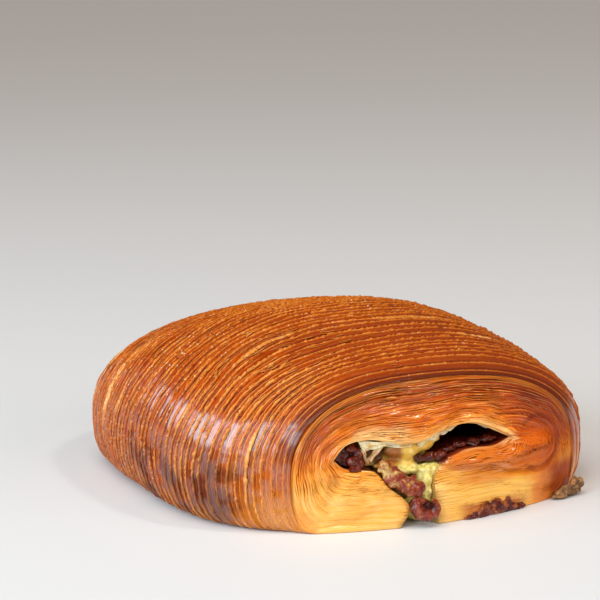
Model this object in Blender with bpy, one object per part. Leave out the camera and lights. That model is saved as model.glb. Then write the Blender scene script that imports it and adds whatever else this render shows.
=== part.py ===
"""Pain suisse: a sheet of laminated dough wrapped round custard and dark chocolate, seam side down.

The roll runs along Y with its open end at -Y, X is its width and Z is up. The origin is the middle of
its footprint. A ridged skin of dough layers runs round the roll. It ends in a groove at each end face,
where the wrapped layers show edge on round the slit that holds the filling.
"""

import math

import bpy
import numpy as np

MM = 0.001

# Driving dimensions of the wrapped dough.
SKIN_LENGTH = 100 * MM  # from groove to groove, along Y
WIDTH = 105.8 * MM  # at the middle of the roll
HEIGHT = 42.3 * MM  # at the middle of the roll
WIDEST_HEIGHT = 0.335  # share of the height at which a section is widest
FLAT_SHARE = 0.86  # share of the half width that lies flat on the plate
CORNER_ROUNDNESS = 2.35  # exponent of the lower corners
DOME_ROUNDNESS = 2.37  # exponent of the dome at the middle and the back
DOME_ROUNDNESS_FRONT = 2.5  # exponent of the dome at the front groove
LEAN = 0.047  # the left side stands this share higher than the middle, and the right lower
FRONT_NARROWING, BACK_NARROWING = 0.29, 0.285  # share of the width lost at each groove
FRONT_LOWERING, BACK_LOWERING = 0.22, 0.305  # share of the height lost at each groove
NARROWING_POWER, LOWERING_POWER = 4.4, 1.6
FRONT_SHIFT = 5.2 * MM  # the front groove's centre lies this far to the right
FRONT_SKEW, BACK_SKEW = -0.029, 0.03  # slope of each end across the width
FACE_BULGE = 8.4 * MM  # how far an end face swells past its groove
BULGE_ACROSS, BULGE_UP = 1.93, 2.2  # exponents of that swelling across the face and up it
BASE_TURN = 3 * MM  # height over which the groove ends above the plate
BASE_HOLD = 0.8  # share of the half length beyond which the base swells out with the face
GROOVE_DEPTH = 0.9 * MM
GAP = 0.35 * MM  # clearance between touching pieces

# The skin's ridges are the edges of the dough layers.
RIDGE_PITCH = 2.25 * MM
RIDGE_HEIGHT = 0.75 * MM
RIDGE_UNEVENNESS = 0.35  # share by which a ridge's width may vary
CREST_SHARE, CREST_UNEVENNESS = 0.72, 0.08  # where a ridge's crest lies on its width, from the front
RIDGE_WANDER = 0.5 * MM
RIDGE_SEED = 7

# Grid of the dough: columns round the wrap, rows through the wall and along the roll.
LEFT_COLUMNS, TOP_COLUMNS, RIGHT_COLUMNS = 8, 22, 9
CORNER_CROWDING = 1.5  # above 1, the columns of the base crowd towards the lower corners
WALL_ROWS = 8
TUNNEL_ROWS = 11
LAYER_RELIEF = 0.45 * MM  # depth of the layers on an end face

# The space for the filling, as (x, z) in millimetres: at the front end, inside, and at the back end.
# The slit's roof goes from its left end to its right end.
ROOF_FRONT = ((-22.5, 17), (-19, 20.2), (-13, 20.6), (-7, 19), (-1, 19), (5.5, 21.1), (13, 21.5), (22.8, 17))
ROOF_INSIDE = ((-24, 16.5), (-19, 20), (-12, 21.5), (-5, 21.8), (2, 22.2), (9, 22.8), (17, 21.2), (23.5, 16.5))
ROOF_BACK = ((-24, 15), (-19, 18.2), (-12, 18.4), (-5, 17.2), (2, 17.9), (9, 18.8), (16, 18), (20, 15))
# The left flap's top goes from its tip to the slit's left end.
LEFT_TOP_FRONT = ((-13, 13.4), (-16, 14), (-19.8, 14.6), (-22.5, 17))
LEFT_TOP_INSIDE = ((-4.4, 12.6), (-12, 12.6), (-20, 13.4), (-24, 16.5))
LEFT_TOP_BACK = ((-8.5, 12.6), (-14, 12.2), (-20, 12.6), (-24, 15))
# The right flap's top goes from the slit's right end to its tip.
RIGHT_TOP_FRONT = ((22.8, 17), (18.3, 15.8), (13, 16), (9.1, 15.9), (5.4, 14.8))
RIGHT_TOP_INSIDE = ((23.5, 16.5), (17, 13.2), (10, 12.2), (3, 12.2), (-3.2, 12.6))
RIGHT_TOP_BACK = ((20, 15), (15, 13.2), (8, 12.6), (1, 12.4), (-3, 12))
# Each flap's tip goes down from its top to the plate.
LEFT_TIP_FRONT = ((-13, 13.4), (-10.7, 9.9), (-7.7, 7.3), (-6.2, 4.4), (-8.2, 0))
LEFT_TIP_INSIDE = ((-4.4, 12.6), (-4.4, 9.5), (-4.4, 6.3), (-4.4, 3.2), (-4.4, 0))
LEFT_TIP_BACK = ((-8.5, 12.6), (-7.2, 10), (-6.6, 6.5), (-6.6, 3.3), (-7, 0))
RIGHT_TIP_FRONT = ((5.4, 14.8), (2.6, 12.8), (0.8, 9.5), (1, 4.5), (1.1, 0))
RIGHT_TIP_INSIDE = ((-3.2, 12.6), (-3.2, 9.5), (-3.2, 6.3), (-3.2, 3.2), (-3.2, 0))
RIGHT_TIP_BACK = ((-3, 12), (-3.6, 9), (-3.9, 6.5), (-3.9, 3.3), (-3.7, 0))
END_HOLD = 0.035  # share of the length over which an end keeps its shape
END_DEPTH = 0.11  # share of the length over which that shape then turns into the inside's

# Each filling that runs through: (x at the front, x at the back) of its left side, then of its right,
# in millimetres.
CUSTARD_SIDES = ((-14.8, -14.0), (1.6, 3.0))
RIGHT_CHOCOLATE_SIDES = ((2.1, 3.5), (20.4, 17.5))
LEFT_CHOCOLATE_SIDES = ((-21.2, -20.8), (-15.3, -14.5))
# How far each is set back from the front face and from the back face.
CUSTARD_SETBACKS = (3.6 * MM, 2.6 * MM)
RIGHT_CHOCOLATE_SETBACKS = (4.5 * MM, 3.0 * MM)
LEFT_CHOCOLATE_SETBACKS = (0.8 * MM, 2.0 * MM)
POCKET_HEIGHT = 5.5 * MM  # free height over the right chocolate at the front
POCKET_SHARE = 0.17  # share of the length over which that free height stays open
POCKET_TAPER = 0.10  # share of the length over which it then closes
FILLING_ROWS, FILLING_COLUMNS = 14, 7
FILLING_UNEVENNESS = 0.5 * MM
FILLING_SEED = 11

# Lumps, each as (x, how far it stands out of the front face, z) of its middle, then its three radii,
# in millimetres.
CUSTARD_TONGUE = (
    ((-2.6, -5.5, 9.6), (2.2, 2.0, 4.4)),
    ((-4.6, -5.5, 12.6), (3.6, 2.0, 2.4)),
)
SPILLED_CHOCOLATE = (
    ((-11.5, -0.5, 14.5), (1.9, 1.7, 1.5)),
    ((-9.5, -0.6, 12.8), (2.3, 2.0, 2.2)),
    ((-7.1, -0.4, 11.0), (2.6, 2.2, 2.6)),
    ((-4.9, -0.2, 9.1), (2.2, 2.0, 2.1)),
    ((-3.9, 0.9, 5.2), (2.0, 2.2, 2.5)),
    ((-1.7, 1.4, 4.3), (2.0, 2.2, 3.0)),
)
LEAKED_CHOCOLATE = (
    ((10.2, 1.4, 0.9), (2.9, 0.9, 1.2)),
    ((14.4, 1.5, 1.6), (3.2, 1.0, 2.0)),
    ((18.4, 1.5, 1.5), (3.0, 1.0, 1.8)),
    ((21.6, 1.5, 0.9), (2.4, 1.0, 1.0)),
)
CRISP_CRUMB = (
    ((35.5, 2.0, 1.1), (2.0, 1.2, 1.3)),
    ((37.9, 2.3, 2.5), (2.2, 1.5, 2.2)),
    ((40.4, 2.6, 2.7), (2.1, 1.6, 2.1)),
    ((42.3, 3.0, 1.6), (1.5, 1.4, 1.5)),
)
LUMP_GRAIN = 0.8 * MM  # size of a lump's facets
LUMP_UNEVENNESS = 0.12  # share of its radius by which a lump is uneven

DOUGH_COLOUR, DOUGH_ROUGHNESS = (0.62, 0.24, 0.05), 0.4
CUSTARD_COLOUR, CUSTARD_ROUGHNESS = (0.80, 0.62, 0.16), 0.35
CHOCOLATE_COLOUR, CHOCOLATE_ROUGHNESS = (0.05, 0.018, 0.012), 0.3
BURNT_COLOUR, BURNT_ROUGHNESS = (0.30, 0.15, 0.05), 0.5


def clear_scene():
    for obj in list(bpy.data.objects):
        bpy.data.objects.remove(obj)


def smooth(t):
    t = np.clip(t, 0, 1)
    return t * t * (3 - 2 * t)


def make_material(name, colour, roughness):
    material = bpy.data.materials.new(name)
    material.use_nodes = True
    shader = material.node_tree.nodes["Principled BSDF"]
    shader.inputs["Base Color"].default_value = (*colour, 1)
    shader.inputs["Roughness"].default_value = roughness
    shader.inputs["Metallic"].default_value = 0
    return material


def make_object(name, points, faces, material):
    mesh = bpy.data.meshes.new(name)
    mesh.from_pydata([tuple(map(float, p)) for p in points], [], faces)
    mesh.validate()
    mesh.materials.append(material)
    obj = bpy.data.objects.new(name, mesh)
    bpy.context.scene.collection.objects.link(obj)
    mesh.shade_smooth()
    return obj


def along(points, shares):
    """The points at these shares of the length of a smooth curve through the given points."""
    p = np.asarray(points, float)
    ends = np.vstack([2 * p[0] - p[1], p, 2 * p[-1] - p[-2]])
    t = np.linspace(0, 1, 12, endpoint=False)[:, None]
    spans = []
    for a, b, c, d in zip(ends[:-3], ends[1:-2], ends[2:-1], ends[3:]):
        spans.append(0.5 * (2 * b + (c - a) * t + (2 * a - 5 * b + 4 * c - d) * t**2
                            + (3 * b - a - 3 * c + d) * t**3))
    return resampled(np.vstack([*spans, p[-1:]]), shares)


def resampled(line, shares):
    """The points at these shares of a polyline's length."""
    length = np.concatenate([[0], np.cumsum(np.hypot(*np.diff(line, axis=0).T))])
    at = np.asarray(shares) * length[-1]
    return np.stack([np.interp(at, length, line[:, k]) for k in range(2)], -1)


def at_depth(front, inside, back, share):
    """Control points, in metres, this share of the way from the front end to the back end."""
    front, inside, back = (np.array(p, float) * MM for p in (front, inside, back))
    in_front = 1 - smooth((share - END_HOLD) / END_DEPTH)
    behind = 1 - smooth((1 - share - END_HOLD) / END_DEPTH)
    return inside + in_front * (front - inside) + behind * (back - inside)


def half_width(s):
    lost = np.where(s < 0, FRONT_NARROWING, BACK_NARROWING)
    return WIDTH / 2 * (1 - lost * np.abs(s) ** NARROWING_POWER)


def height(s):
    lost = np.where(s < 0, FRONT_LOWERING, BACK_LOWERING)
    return HEIGHT * (1 - lost * np.abs(s) ** LOWERING_POWER)


def section_centre(s):
    return FRONT_SHIFT * max(-s, 0) ** 2


def outer_section(s, left_tip, right_tip):
    """The outline at s, -1 at the front groove and 1 at the back one, in the dough grid's columns."""
    w, h = float(half_width(np.float64(s))), float(height(np.float64(s)))
    widest = WIDEST_HEIGHT * h
    flat = FLAT_SHARE * w
    roundness = DOME_ROUNDNESS + (DOME_ROUNDNESS_FRONT - DOME_ROUNDNESS) * max(-s, 0) ** 3
    turn = np.linspace(0, math.pi / 2, 25)
    corner_x = flat + (w - flat) * np.sin(turn) ** (2 / CORNER_ROUNDNESS)
    corner_z = widest * (1 - np.cos(turn) ** (2 / CORNER_ROUNDNESS))
    dome_x = w * np.cos(turn) ** (2 / roundness)
    dome_z = widest + (h - widest) * np.sin(turn) ** (2 / roundness)
    c = section_centre(s)
    left = np.stack([np.append(left_tip, c - corner_x), np.append(0, corner_z)], -1)
    top = np.stack([np.append(c - dome_x, (c + dome_x)[-2::-1]), np.append(dome_z, dome_z[-2::-1])], -1)
    right = np.stack([np.append((c + corner_x)[::-1], right_tip), np.append(corner_z[::-1], 0)], -1)
    line = np.vstack([
        resampled(left, 1 - np.linspace(1, 0, LEFT_COLUMNS + 1) ** CORNER_CROWDING),
        resampled(top, np.linspace(0, 1, TOP_COLUMNS + 1))[1:],
        resampled(right, np.linspace(0, 1, RIGHT_COLUMNS + 1) ** CORNER_CROWDING)[1:],
    ])
    line[:, 1] *= 1 - LEAN * (line[:, 0] - c) / (WIDTH / 2)
    return line


def inner_section(share):
    """The outline of the space for the filling, in the dough grid's columns, and both flap tips."""
    left_top = at_depth(LEFT_TOP_FRONT, LEFT_TOP_INSIDE, LEFT_TOP_BACK, share)
    roof = at_depth(ROOF_FRONT, ROOF_INSIDE, ROOF_BACK, share)
    right_top = at_depth(RIGHT_TOP_FRONT, RIGHT_TOP_INSIDE, RIGHT_TOP_BACK, share)
    line = np.vstack([
        along(left_top, np.linspace(0, 1, LEFT_COLUMNS + 1)),
        along(roof, np.linspace(0, 1, TOP_COLUMNS + 1))[1:],
        along(right_top, np.linspace(0, 1, RIGHT_COLUMNS + 1))[1:],
    ])
    rows = np.linspace(0, 1, WALL_ROWS + 1)
    left_tip = along(at_depth(LEFT_TIP_FRONT, LEFT_TIP_INSIDE, LEFT_TIP_BACK, share), rows)
    right_tip = along(at_depth(RIGHT_TIP_FRONT, RIGHT_TIP_INSIDE, RIGHT_TIP_BACK, share), rows)
    return line, left_tip, right_tip


def groove_y(end, x):
    """Y of an end's groove, end being -1 at the front and 1 at the back."""
    skew = FRONT_SKEW if end < 0 else BACK_SKEW
    return end * SKIN_LENGTH / 2 + skew * x


def face_y(end, x, z):
    """Y of an end face, which swells past its groove and most of all low in its middle."""
    w, h = half_width(np.float64(end)), height(np.float64(end))
    across = 1 - np.clip(np.abs(x - section_centre(end)) / w, 0, 1) ** BULGE_ACROSS
    up = 1 - np.clip(z / h, 0, 1) ** BULGE_UP
    return groove_y(end, x) + end * FACE_BULGE * across * up


def inside_y(share, x, z):
    """Y of a point inside, this share of the way from the front face to the back face."""
    return face_y(-1, x, z) * (1 - share) + face_y(1, x, z) * share


def ridge_rows():
    """(s, height) of each row of the skin: a crest and the valley behind it for each ridge."""
    rng = np.random.default_rng(RIDGE_SEED)
    count = round(SKIN_LENGTH / RIDGE_PITCH)
    widths = 1 + RIDGE_UNEVENNESS * rng.uniform(-1, 1, count)
    ends = np.concatenate([[0], np.cumsum(widths)]) / widths.sum() * 2 - 1
    rows = []
    for start, end in zip(ends[:-1], ends[1:]):
        share = CREST_SHARE + CREST_UNEVENNESS * rng.uniform(-1, 1)
        rows.append((start, 0.0))
        rows.append((start + (end - start) * share, rng.uniform(0.55, 1.0)))
    rows.append((1.0, 0.0))
    return rows


def skin():
    """The skin's points, one row of columns for each crest and valley."""
    rows = []
    for s, crest in ridge_rows():
        share = (s + 1) / 2
        _, left_tip, right_tip = inner_section(share)
        line = outer_section(s, left_tip[-1, 0], right_tip[-1, 0])
        x, z = line.T
        out = np.gradient(line, axis=0)
        normal = np.stack([-out[:, 1], out[:, 0]], -1)
        normal /= np.linalg.norm(normal, axis=1)[:, None]
        lift = crest * RIDGE_HEIGHT * smooth(z / (4 * MM)) * (1 - s**8)
        turn = np.linspace(0, 2 * math.pi, len(line))
        wander = RIDGE_WANDER * np.sin(2 * turn + 3 * s) * (1 - s**8) * smooth(z / (4 * MM))
        skew = max(-s, 0) ** 2 * FRONT_SKEW + max(s, 0) ** 2 * BACK_SKEW
        base = (1 - smooth(z / BASE_TURN)) * smooth((abs(s) - BASE_HOLD) / (1 - BASE_HOLD))
        end = math.copysign(1, s)
        swell = (face_y(end, x, 0 * z) - groove_y(end, x)) * base
        y = s * SKIN_LENGTH / 2 + skew * x + wander + swell
        rows.append(np.stack([x + normal[:, 0] * lift, y, z + normal[:, 1] * lift], -1))
    return np.array(rows)


def end_face(end, rim):
    """An end face's rows from the slit out to the row before the rim."""
    share = (end + 1) / 2
    inner, left_tip, right_tip = inner_section(share)
    outer = rim[:, [0, 2]]
    columns = np.linspace(0, 1, len(inner))
    near_left = np.clip(1 - columns * 4, 0, 1)[:, None] ** 2
    near_right = np.clip(columns * 4 - 3, 0, 1)[:, None] ** 2
    rows = []
    for k in range(WALL_ROWS):
        r = k / WALL_ROWS
        line = inner + (outer - inner) * r
        line += near_left * (left_tip[k] - line[0]) + near_right * (right_tip[k] - line[-1])
        x, z = line.T
        relief = LAYER_RELIEF * (k % 2) * smooth(z / (3 * MM))
        sink = GROOVE_DEPTH * (k == WALL_ROWS - 1) * smooth(z / (5 * MM))
        rows.append(np.stack([x, face_y(end, x, z) - end * (relief + sink), z], -1))
    return np.array(rows)


def zipped(fine, coarse):
    """Triangles between two rows of point numbers that start and end together."""
    faces, i, j = [], 0, 0
    while i < len(fine) - 1 or j < len(coarse) - 1:
        if j == len(coarse) - 1 or (i + 1) / (len(fine) - 1) <= (j + 1) / (len(coarse) - 1):
            if i < len(fine) - 1:
                faces.append((fine[i], fine[i + 1], coarse[j]))
                i += 1
                continue
        faces.append((fine[i], coarse[j + 1], coarse[j]))
        j += 1
    return faces


def grid_faces(grid):
    """Quads between neighbouring rows and columns of a grid of point numbers."""
    return [
        (int(a), int(b), int(c), int(d))
        for top, low in zip(grid[:-1], grid[1:])
        for a, b, c, d in zip(top[:-1], top[1:], low[1:], low[:-1])
    ]


class Shape:
    """Points and faces gathered from grids, with each grid's point numbers."""

    def __init__(self):
        self.points = []
        self.faces = []

    def add(self, grid):
        grid = np.asarray(grid, float)
        first = len(self.points)
        self.points.extend(grid.reshape(-1, 3))
        return np.arange(first, first + grid.size // 3).reshape(grid.shape[:-1])


def outward(obj):
    """Turns every face of a closed mesh to point out."""
    mesh = obj.data
    bpy.context.view_layer.objects.active = obj
    obj.select_set(True)
    bpy.ops.object.mode_set(mode="EDIT")
    bpy.ops.mesh.select_all(action="SELECT")
    bpy.ops.mesh.normals_make_consistent(inside=False)
    bpy.ops.object.mode_set(mode="OBJECT")
    obj.select_set(False)
    mesh.update()
    return obj


def make_dough(material):
    """The wrapped dough: skin, end faces, both flap tips and the space for the filling."""
    shape = Shape()
    skin_points = skin()
    outside = shape.add(skin_points)
    front, back = end_face(-1, skin_points[0]), end_face(1, skin_points[-1])
    front_ids, back_ids = shape.add(front), shape.add(back)

    tunnel, left, right = [front_ids[0]], [front_ids[:, 0]], [front_ids[:, -1]]
    for row in range(1, TUNNEL_ROWS):
        share = row / TUNNEL_ROWS
        inner, left_tip, right_tip = inner_section(share)
        inner_ids = shape.add([(x, inside_y(share, x, z), z) for x, z in inner])
        tunnel.append(inner_ids)
        for ids, tip, edge in ((left, left_tip, inner_ids[0]), (right, right_tip, inner_ids[-1])):
            below = shape.add([(x, inside_y(share, x, z), z) for x, z in tip[1:-1]])
            ids.append(np.append(edge, below))
    tunnel.append(back_ids[0])
    left.append(back_ids[:, 0])
    right.append(back_ids[:, -1])

    for grid in (outside, np.array(tunnel), np.array(left), np.array(right),
                 np.vstack([front_ids, outside[:1]]), np.vstack([back_ids, outside[-1:]])):
        shape.faces.extend(grid_faces(grid))
    shape.faces.extend(zipped([int(i) for i in outside[:, 0]], [int(i) for i in np.array(left)[:, -1]]))
    shape.faces.extend(zipped([int(i) for i in outside[:, -1]], [int(i) for i in np.array(right)[:, -1]]))
    return outward(make_object("pastry", shape.points, shape.faces, material))


def filling_heights(share, xs):
    """Heights of the floor and the roof over the filling at each x."""
    spread = np.linspace(0, 1, 60)
    roof = along(at_depth(ROOF_FRONT, ROOF_INSIDE, ROOF_BACK, share), spread)
    left = along(at_depth(LEFT_TOP_FRONT, LEFT_TOP_INSIDE, LEFT_TOP_BACK, share), spread)
    right = along(at_depth(RIGHT_TOP_FRONT, RIGHT_TOP_INSIDE, RIGHT_TOP_BACK, share), spread)
    floor = np.vstack([left[::-1], right[::-1]])
    return np.interp(xs, floor[:, 0], floor[:, 1]), np.interp(xs, roof[:, 0], roof[:, 1])


def make_filling(name, sides, setbacks, pocket, material):
    """A filling that runs from end to end, close to the dough above and below it.

    pocket is the free height over it at the front.
    """
    rng = np.random.default_rng(FILLING_SEED)
    (left_front, left_back), (right_front, right_back) = np.array(sides) * MM
    shape = Shape()
    across = np.linspace(0, 1, FILLING_COLUMNS)
    rings = []
    for share in smooth(np.linspace(0, 1, FILLING_ROWS)) * 0.5 + np.linspace(0, 1, FILLING_ROWS) * 0.5:
        xs = left_front + (left_back - left_front) * share
        xs = xs + (right_front + (right_back - right_front) * share - xs) * across
        floor, roof = filling_heights(share, xs)
        free = pocket * (1 - smooth((share - POCKET_SHARE) / POCKET_TAPER))
        bumps = rng.uniform(0, 1, len(xs)) * FILLING_UNEVENNESS
        low = floor + GAP
        high = np.maximum(roof - GAP - free - bumps, low + GAP)
        ring = np.stack([np.append(xs, xs[::-1]), np.append(low, high[::-1])], -1)
        front, back = face_y(-1, ring[:, 0], ring[:, 1]), face_y(1, ring[:, 0], ring[:, 1])
        front = front + setbacks[0]
        back = back - setbacks[1]
        y = front * (1 - share) + back * share
        rings.append(shape.add(np.stack([ring[:, 0], y, ring[:, 1]], -1)))
    rings = np.array(rings)
    shape.faces.extend(grid_faces(np.hstack([rings, rings[:, :1]])))
    for ring in (rings[0], rings[-1]):
        half = FILLING_COLUMNS
        shape.faces.extend(grid_faces(np.array([ring[:half], ring[half:][::-1]])))
    return outward(make_object(name, shape.points, shape.faces, material))


def uneven(point, seed):
    """A smooth field between about -1 and 1 that makes a lump uneven."""
    x, y, z = (np.asarray(point, float) / (1.6 * MM))
    return (math.sin(1.3 * x + seed) + math.sin(1.7 * y + 2.1 * seed) + math.sin(1.5 * z + 0.7 * seed)) / 3


def make_lumps(name, lumps, material):
    """Lumps run together into one closed body."""
    shape = Shape()
    for seed, ((x, out, z), radii) in enumerate(lumps):
        middle = np.array((x * MM, face_y(-1, x * MM, z * MM) - out * MM, z * MM))
        bpy.ops.mesh.primitive_ico_sphere_add(subdivisions=3, radius=1)
        ball = bpy.context.object
        first = len(shape.points)
        for vertex in ball.data.vertices:
            reach = np.array(radii) * MM * vertex.co
            point = middle + reach * (1 + LUMP_UNEVENNESS * uneven(middle + reach, seed))
            point[2] = max(point[2], 0)
            shape.points.append(point)
        shape.faces.extend([tuple(first + i for i in face.vertices) for face in ball.data.polygons])
        bpy.data.objects.remove(ball)
    obj = make_object(name, shape.points, shape.faces, material)
    remesh = obj.modifiers.new("join", "REMESH")
    remesh.mode = "VOXEL"
    remesh.voxel_size = LUMP_GRAIN
    apply_modifier(obj, remesh)
    return obj


def apply_modifier(obj, modifier):
    bpy.context.view_layer.objects.active = obj
    bpy.ops.object.modifier_apply(modifier=modifier.name)


def fuse(obj, other):
    """Joins another closed body onto this one."""
    union = obj.modifiers.new("fuse", "BOOLEAN")
    union.operation = "UNION"
    union.solver = "EXACT"
    union.object = other
    apply_modifier(obj, union)
    bpy.data.objects.remove(other)


def main():
    clear_scene()
    dough = make_material("dough", DOUGH_COLOUR, DOUGH_ROUGHNESS)
    custard = make_material("custard", CUSTARD_COLOUR, CUSTARD_ROUGHNESS)
    chocolate = make_material("chocolate", CHOCOLATE_COLOUR, CHOCOLATE_ROUGHNESS)
    burnt = make_material("burnt_crumb", BURNT_COLOUR, BURNT_ROUGHNESS)
    make_dough(dough)
    cream = make_filling("pastry_cream", CUSTARD_SIDES, CUSTARD_SETBACKS, 0, custard)
    fuse(cream, make_lumps("tongue", CUSTARD_TONGUE, custard))
    make_filling("right_chocolate", RIGHT_CHOCOLATE_SIDES, RIGHT_CHOCOLATE_SETBACKS, POCKET_HEIGHT, chocolate)
    make_filling("left_chocolate", LEFT_CHOCOLATE_SIDES, LEFT_CHOCOLATE_SETBACKS, 0, chocolate)
    make_lumps("spilled_chocolate", SPILLED_CHOCOLATE, chocolate)
    make_lumps("leaked_chocolate", LEAKED_CHOCOLATE, chocolate)
    make_lumps("crisp_crumb", CRISP_CRUMB, burnt)


main()
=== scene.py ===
"""Looks of the pain suisse: a ridged roll of laminated dough with custard and dark chocolate in its slit.

The dough is one closed mesh that follows the solids' own shape, with a beaded golden edge on each ridge
of its skin and fine wrapped layers on its end faces. Every length is in metres.
"""

import math

import bpy
import numpy as np
from mathutils import Matrix, Vector


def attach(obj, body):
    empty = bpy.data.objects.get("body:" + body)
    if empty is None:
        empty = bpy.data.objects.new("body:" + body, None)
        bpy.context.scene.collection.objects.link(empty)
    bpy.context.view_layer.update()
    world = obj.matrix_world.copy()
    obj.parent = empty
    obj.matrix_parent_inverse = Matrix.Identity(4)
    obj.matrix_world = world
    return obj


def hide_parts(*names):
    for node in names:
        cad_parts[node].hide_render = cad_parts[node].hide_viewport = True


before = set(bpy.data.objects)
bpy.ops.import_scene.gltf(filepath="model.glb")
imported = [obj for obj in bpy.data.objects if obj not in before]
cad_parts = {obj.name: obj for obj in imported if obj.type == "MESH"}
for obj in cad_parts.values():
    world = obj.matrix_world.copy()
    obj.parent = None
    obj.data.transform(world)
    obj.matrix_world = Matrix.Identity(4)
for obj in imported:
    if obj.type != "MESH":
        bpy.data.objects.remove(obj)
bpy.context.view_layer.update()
MM = 0.001

# The roll's dimensions are those of the solids.
SKIN_LENGTH, WIDTH, HEIGHT = 100 * MM, 105.8 * MM, 42.3 * MM
WIDEST_HEIGHT, FLAT_SHARE = 0.335, 0.86
CORNER_ROUNDNESS, DOME_ROUNDNESS, DOME_ROUNDNESS_FRONT = 2.35, 2.37, 2.5
LEAN = 0.047
FRONT_NARROWING, BACK_NARROWING, NARROWING_POWER = 0.29, 0.285, 4.4
FRONT_LOWERING, BACK_LOWERING, LOWERING_POWER = 0.22, 0.305, 1.6
FRONT_SHIFT, FRONT_SKEW, BACK_SKEW = 5.2 * MM, -0.029, 0.03
FACE_BULGE, BULGE_ACROSS, BULGE_UP = 8.4 * MM, 1.93, 2.2
BASE_TURN, BASE_HOLD = 3 * MM, 0.8
GROOVE_DEPTH, SLIT_LIP = 0.9 * MM, 1.2 * MM
RIDGE_PITCH, RIDGE_HEIGHT, RIDGE_UNEVENNESS = 2.1 * MM, 0.75 * MM, 0.24
CREST_SHARE, CREST_UNEVENNESS = 0.72, 0.08
RIDGE_WANDER, RIDGE_SEED = 0.5 * MM, 7
SLOPE_SHARE = 1.2  # share of the narrowing's slope that spaces the ridges
END_HOLD, END_DEPTH = 0.035, 0.11

# The slit's outline in (x, z) millimetres, as in the solids: at the front, inside and at the back.
ROOF = (
    ((-22.5, 17), (-19, 20.2), (-13, 20.6), (-7, 19), (-1, 19), (5.5, 21.1), (13, 21.5), (22.8, 17)),
    ((-24, 16.5), (-19, 20), (-12, 21.5), (-5, 21.8), (2, 22.2), (9, 22.8), (17, 21.2), (23.5, 16.5)),
    ((-24, 15), (-19, 18.2), (-12, 18.4), (-5, 17.2), (2, 17.9), (9, 18.8), (16, 18), (20, 15)),
)
LEFT_TOP = (
    ((-13, 13.4), (-16, 14), (-19.8, 14.6), (-22.5, 17)),
    ((-4.4, 12.6), (-12, 12.6), (-20, 13.4), (-24, 16.5)),
    ((-8.5, 12.6), (-14, 12.2), (-20, 12.6), (-24, 15)),
)
RIGHT_TOP = (
    ((22.8, 17), (18.3, 15.8), (13, 16), (9.1, 15.9), (5.4, 14.8)),
    ((23.5, 16.5), (17, 13.2), (10, 12.2), (3, 12.2), (-3.2, 12.6)),
    ((20, 15), (15, 13.2), (8, 12.6), (1, 12.4), (-3, 12)),
)
LEFT_TIP = (
    ((-13, 13.4), (-10.7, 9.9), (-7.7, 7.3), (-6.2, 4.4), (-8.2, 0)),
    ((-4.4, 12.6), (-4.4, 9.5), (-4.4, 6.3), (-4.4, 3.2), (-4.4, 0)),
    ((-8.5, 12.6), (-7.2, 10), (-6.6, 6.5), (-6.6, 3.3), (-7, 0)),
)
RIGHT_TIP = (
    ((5.4, 14.8), (2.6, 12.8), (0.8, 9.5), (1, 4.5), (1.1, 0)),
    ((-3.2, 12.6), (-3.2, 9.5), (-3.2, 6.3), (-3.2, 3.2), (-3.2, 0)),
    ((-3, 12), (-3.6, 9), (-3.9, 6.5), (-3.9, 3.3), (-3.7, 0)),
)

GAP = 0.35 * MM  # between the dough and a filling
# Each filling's sides in x at the front and at the back, and how far it ends inside each end face.
CUSTARD_SIDES, CUSTARD_SETBACKS = ((-14.8, -14.0), (1.6, 3.0)), (5.0, 2.6)
RIGHT_CHOCOLATE_SIDES, RIGHT_CHOCOLATE_SETBACKS = ((2.1, 3.5), (20.4, 17.5)), (5.2, 3.0)
LEFT_CHOCOLATE_SIDES, LEFT_CHOCOLATE_SETBACKS = ((-21.2, -20.8), (-15.3, -14.5)), (3.2, 2.0)
POCKET_HEIGHT, POCKET_SHARE, POCKET_TAPER = 5.5 * MM, 0.17, 0.10

# Lumps: ((x, how far it stands out of the front face, z), radii) in millimetres.
CUSTARD_MOUND = (
    ((-6.8, -4.6, 17.4), (3.0, 2.6, 2.0)), ((-3.6, -4.3, 17.2), (3.5, 2.6, 2.4)),
    ((0.0, -4.3, 17.9), (3.4, 2.4, 1.8)), ((2.9, -4.5, 18.8), (2.2, 2.2, 0.9)),
    ((-4.6, -4.8, 15.7), (2.0, 2.2, 1.3)), ((-2.6, -5.4, 14.6), (1.8, 2.0, 1.6)),
)
CUSTARD_GRAINY = (
    ((-8.8, -4.0, 14.2), (3.6, 2.2, 0.9)), ((-4.2, -3.9, 12.9), (3.2, 2.4, 1.5)),
    ((0.4, -3.6, 12.2), (2.6, 2.2, 1.5)), ((2.2, -3.6, 12.7), (1.7, 1.9, 0.9)),
    ((-0.3, -3.4, 9.8), (2.4, 2.2, 2.4)), ((-0.6, -3.2, 7.2), (1.9, 2.0, 2.2)),
    ((-1.2, -3.0, 5.0), (1.6, 1.8, 1.6)), ((-2.6, -4.5, 3.4), (2.6, 2.2, 3.2)),
)
POCKET_CHUNKS = (
    ((-1.3, -3.6, 15.0), (1.3, 1.5, 0.9)), ((1.5, -3.6, 14.8), (1.6, 1.6, 1.2)),
    ((4.1, -3.4, 15.0), (1.7, 1.7, 1.3)), ((6.9, -3.6, 16.1), (1.5, 1.6, 1.0)),
    ((10.0, -3.5, 16.7), (1.6, 1.6, 0.9)), ((13.3, -3.4, 16.7), (1.7, 1.6, 0.9)),
    ((16.6, -3.2, 17.1), (1.5, 1.4, 0.8)), ((19.0, -3.1, 17.2), (0.9, 1.2, 0.5)),
)
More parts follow.
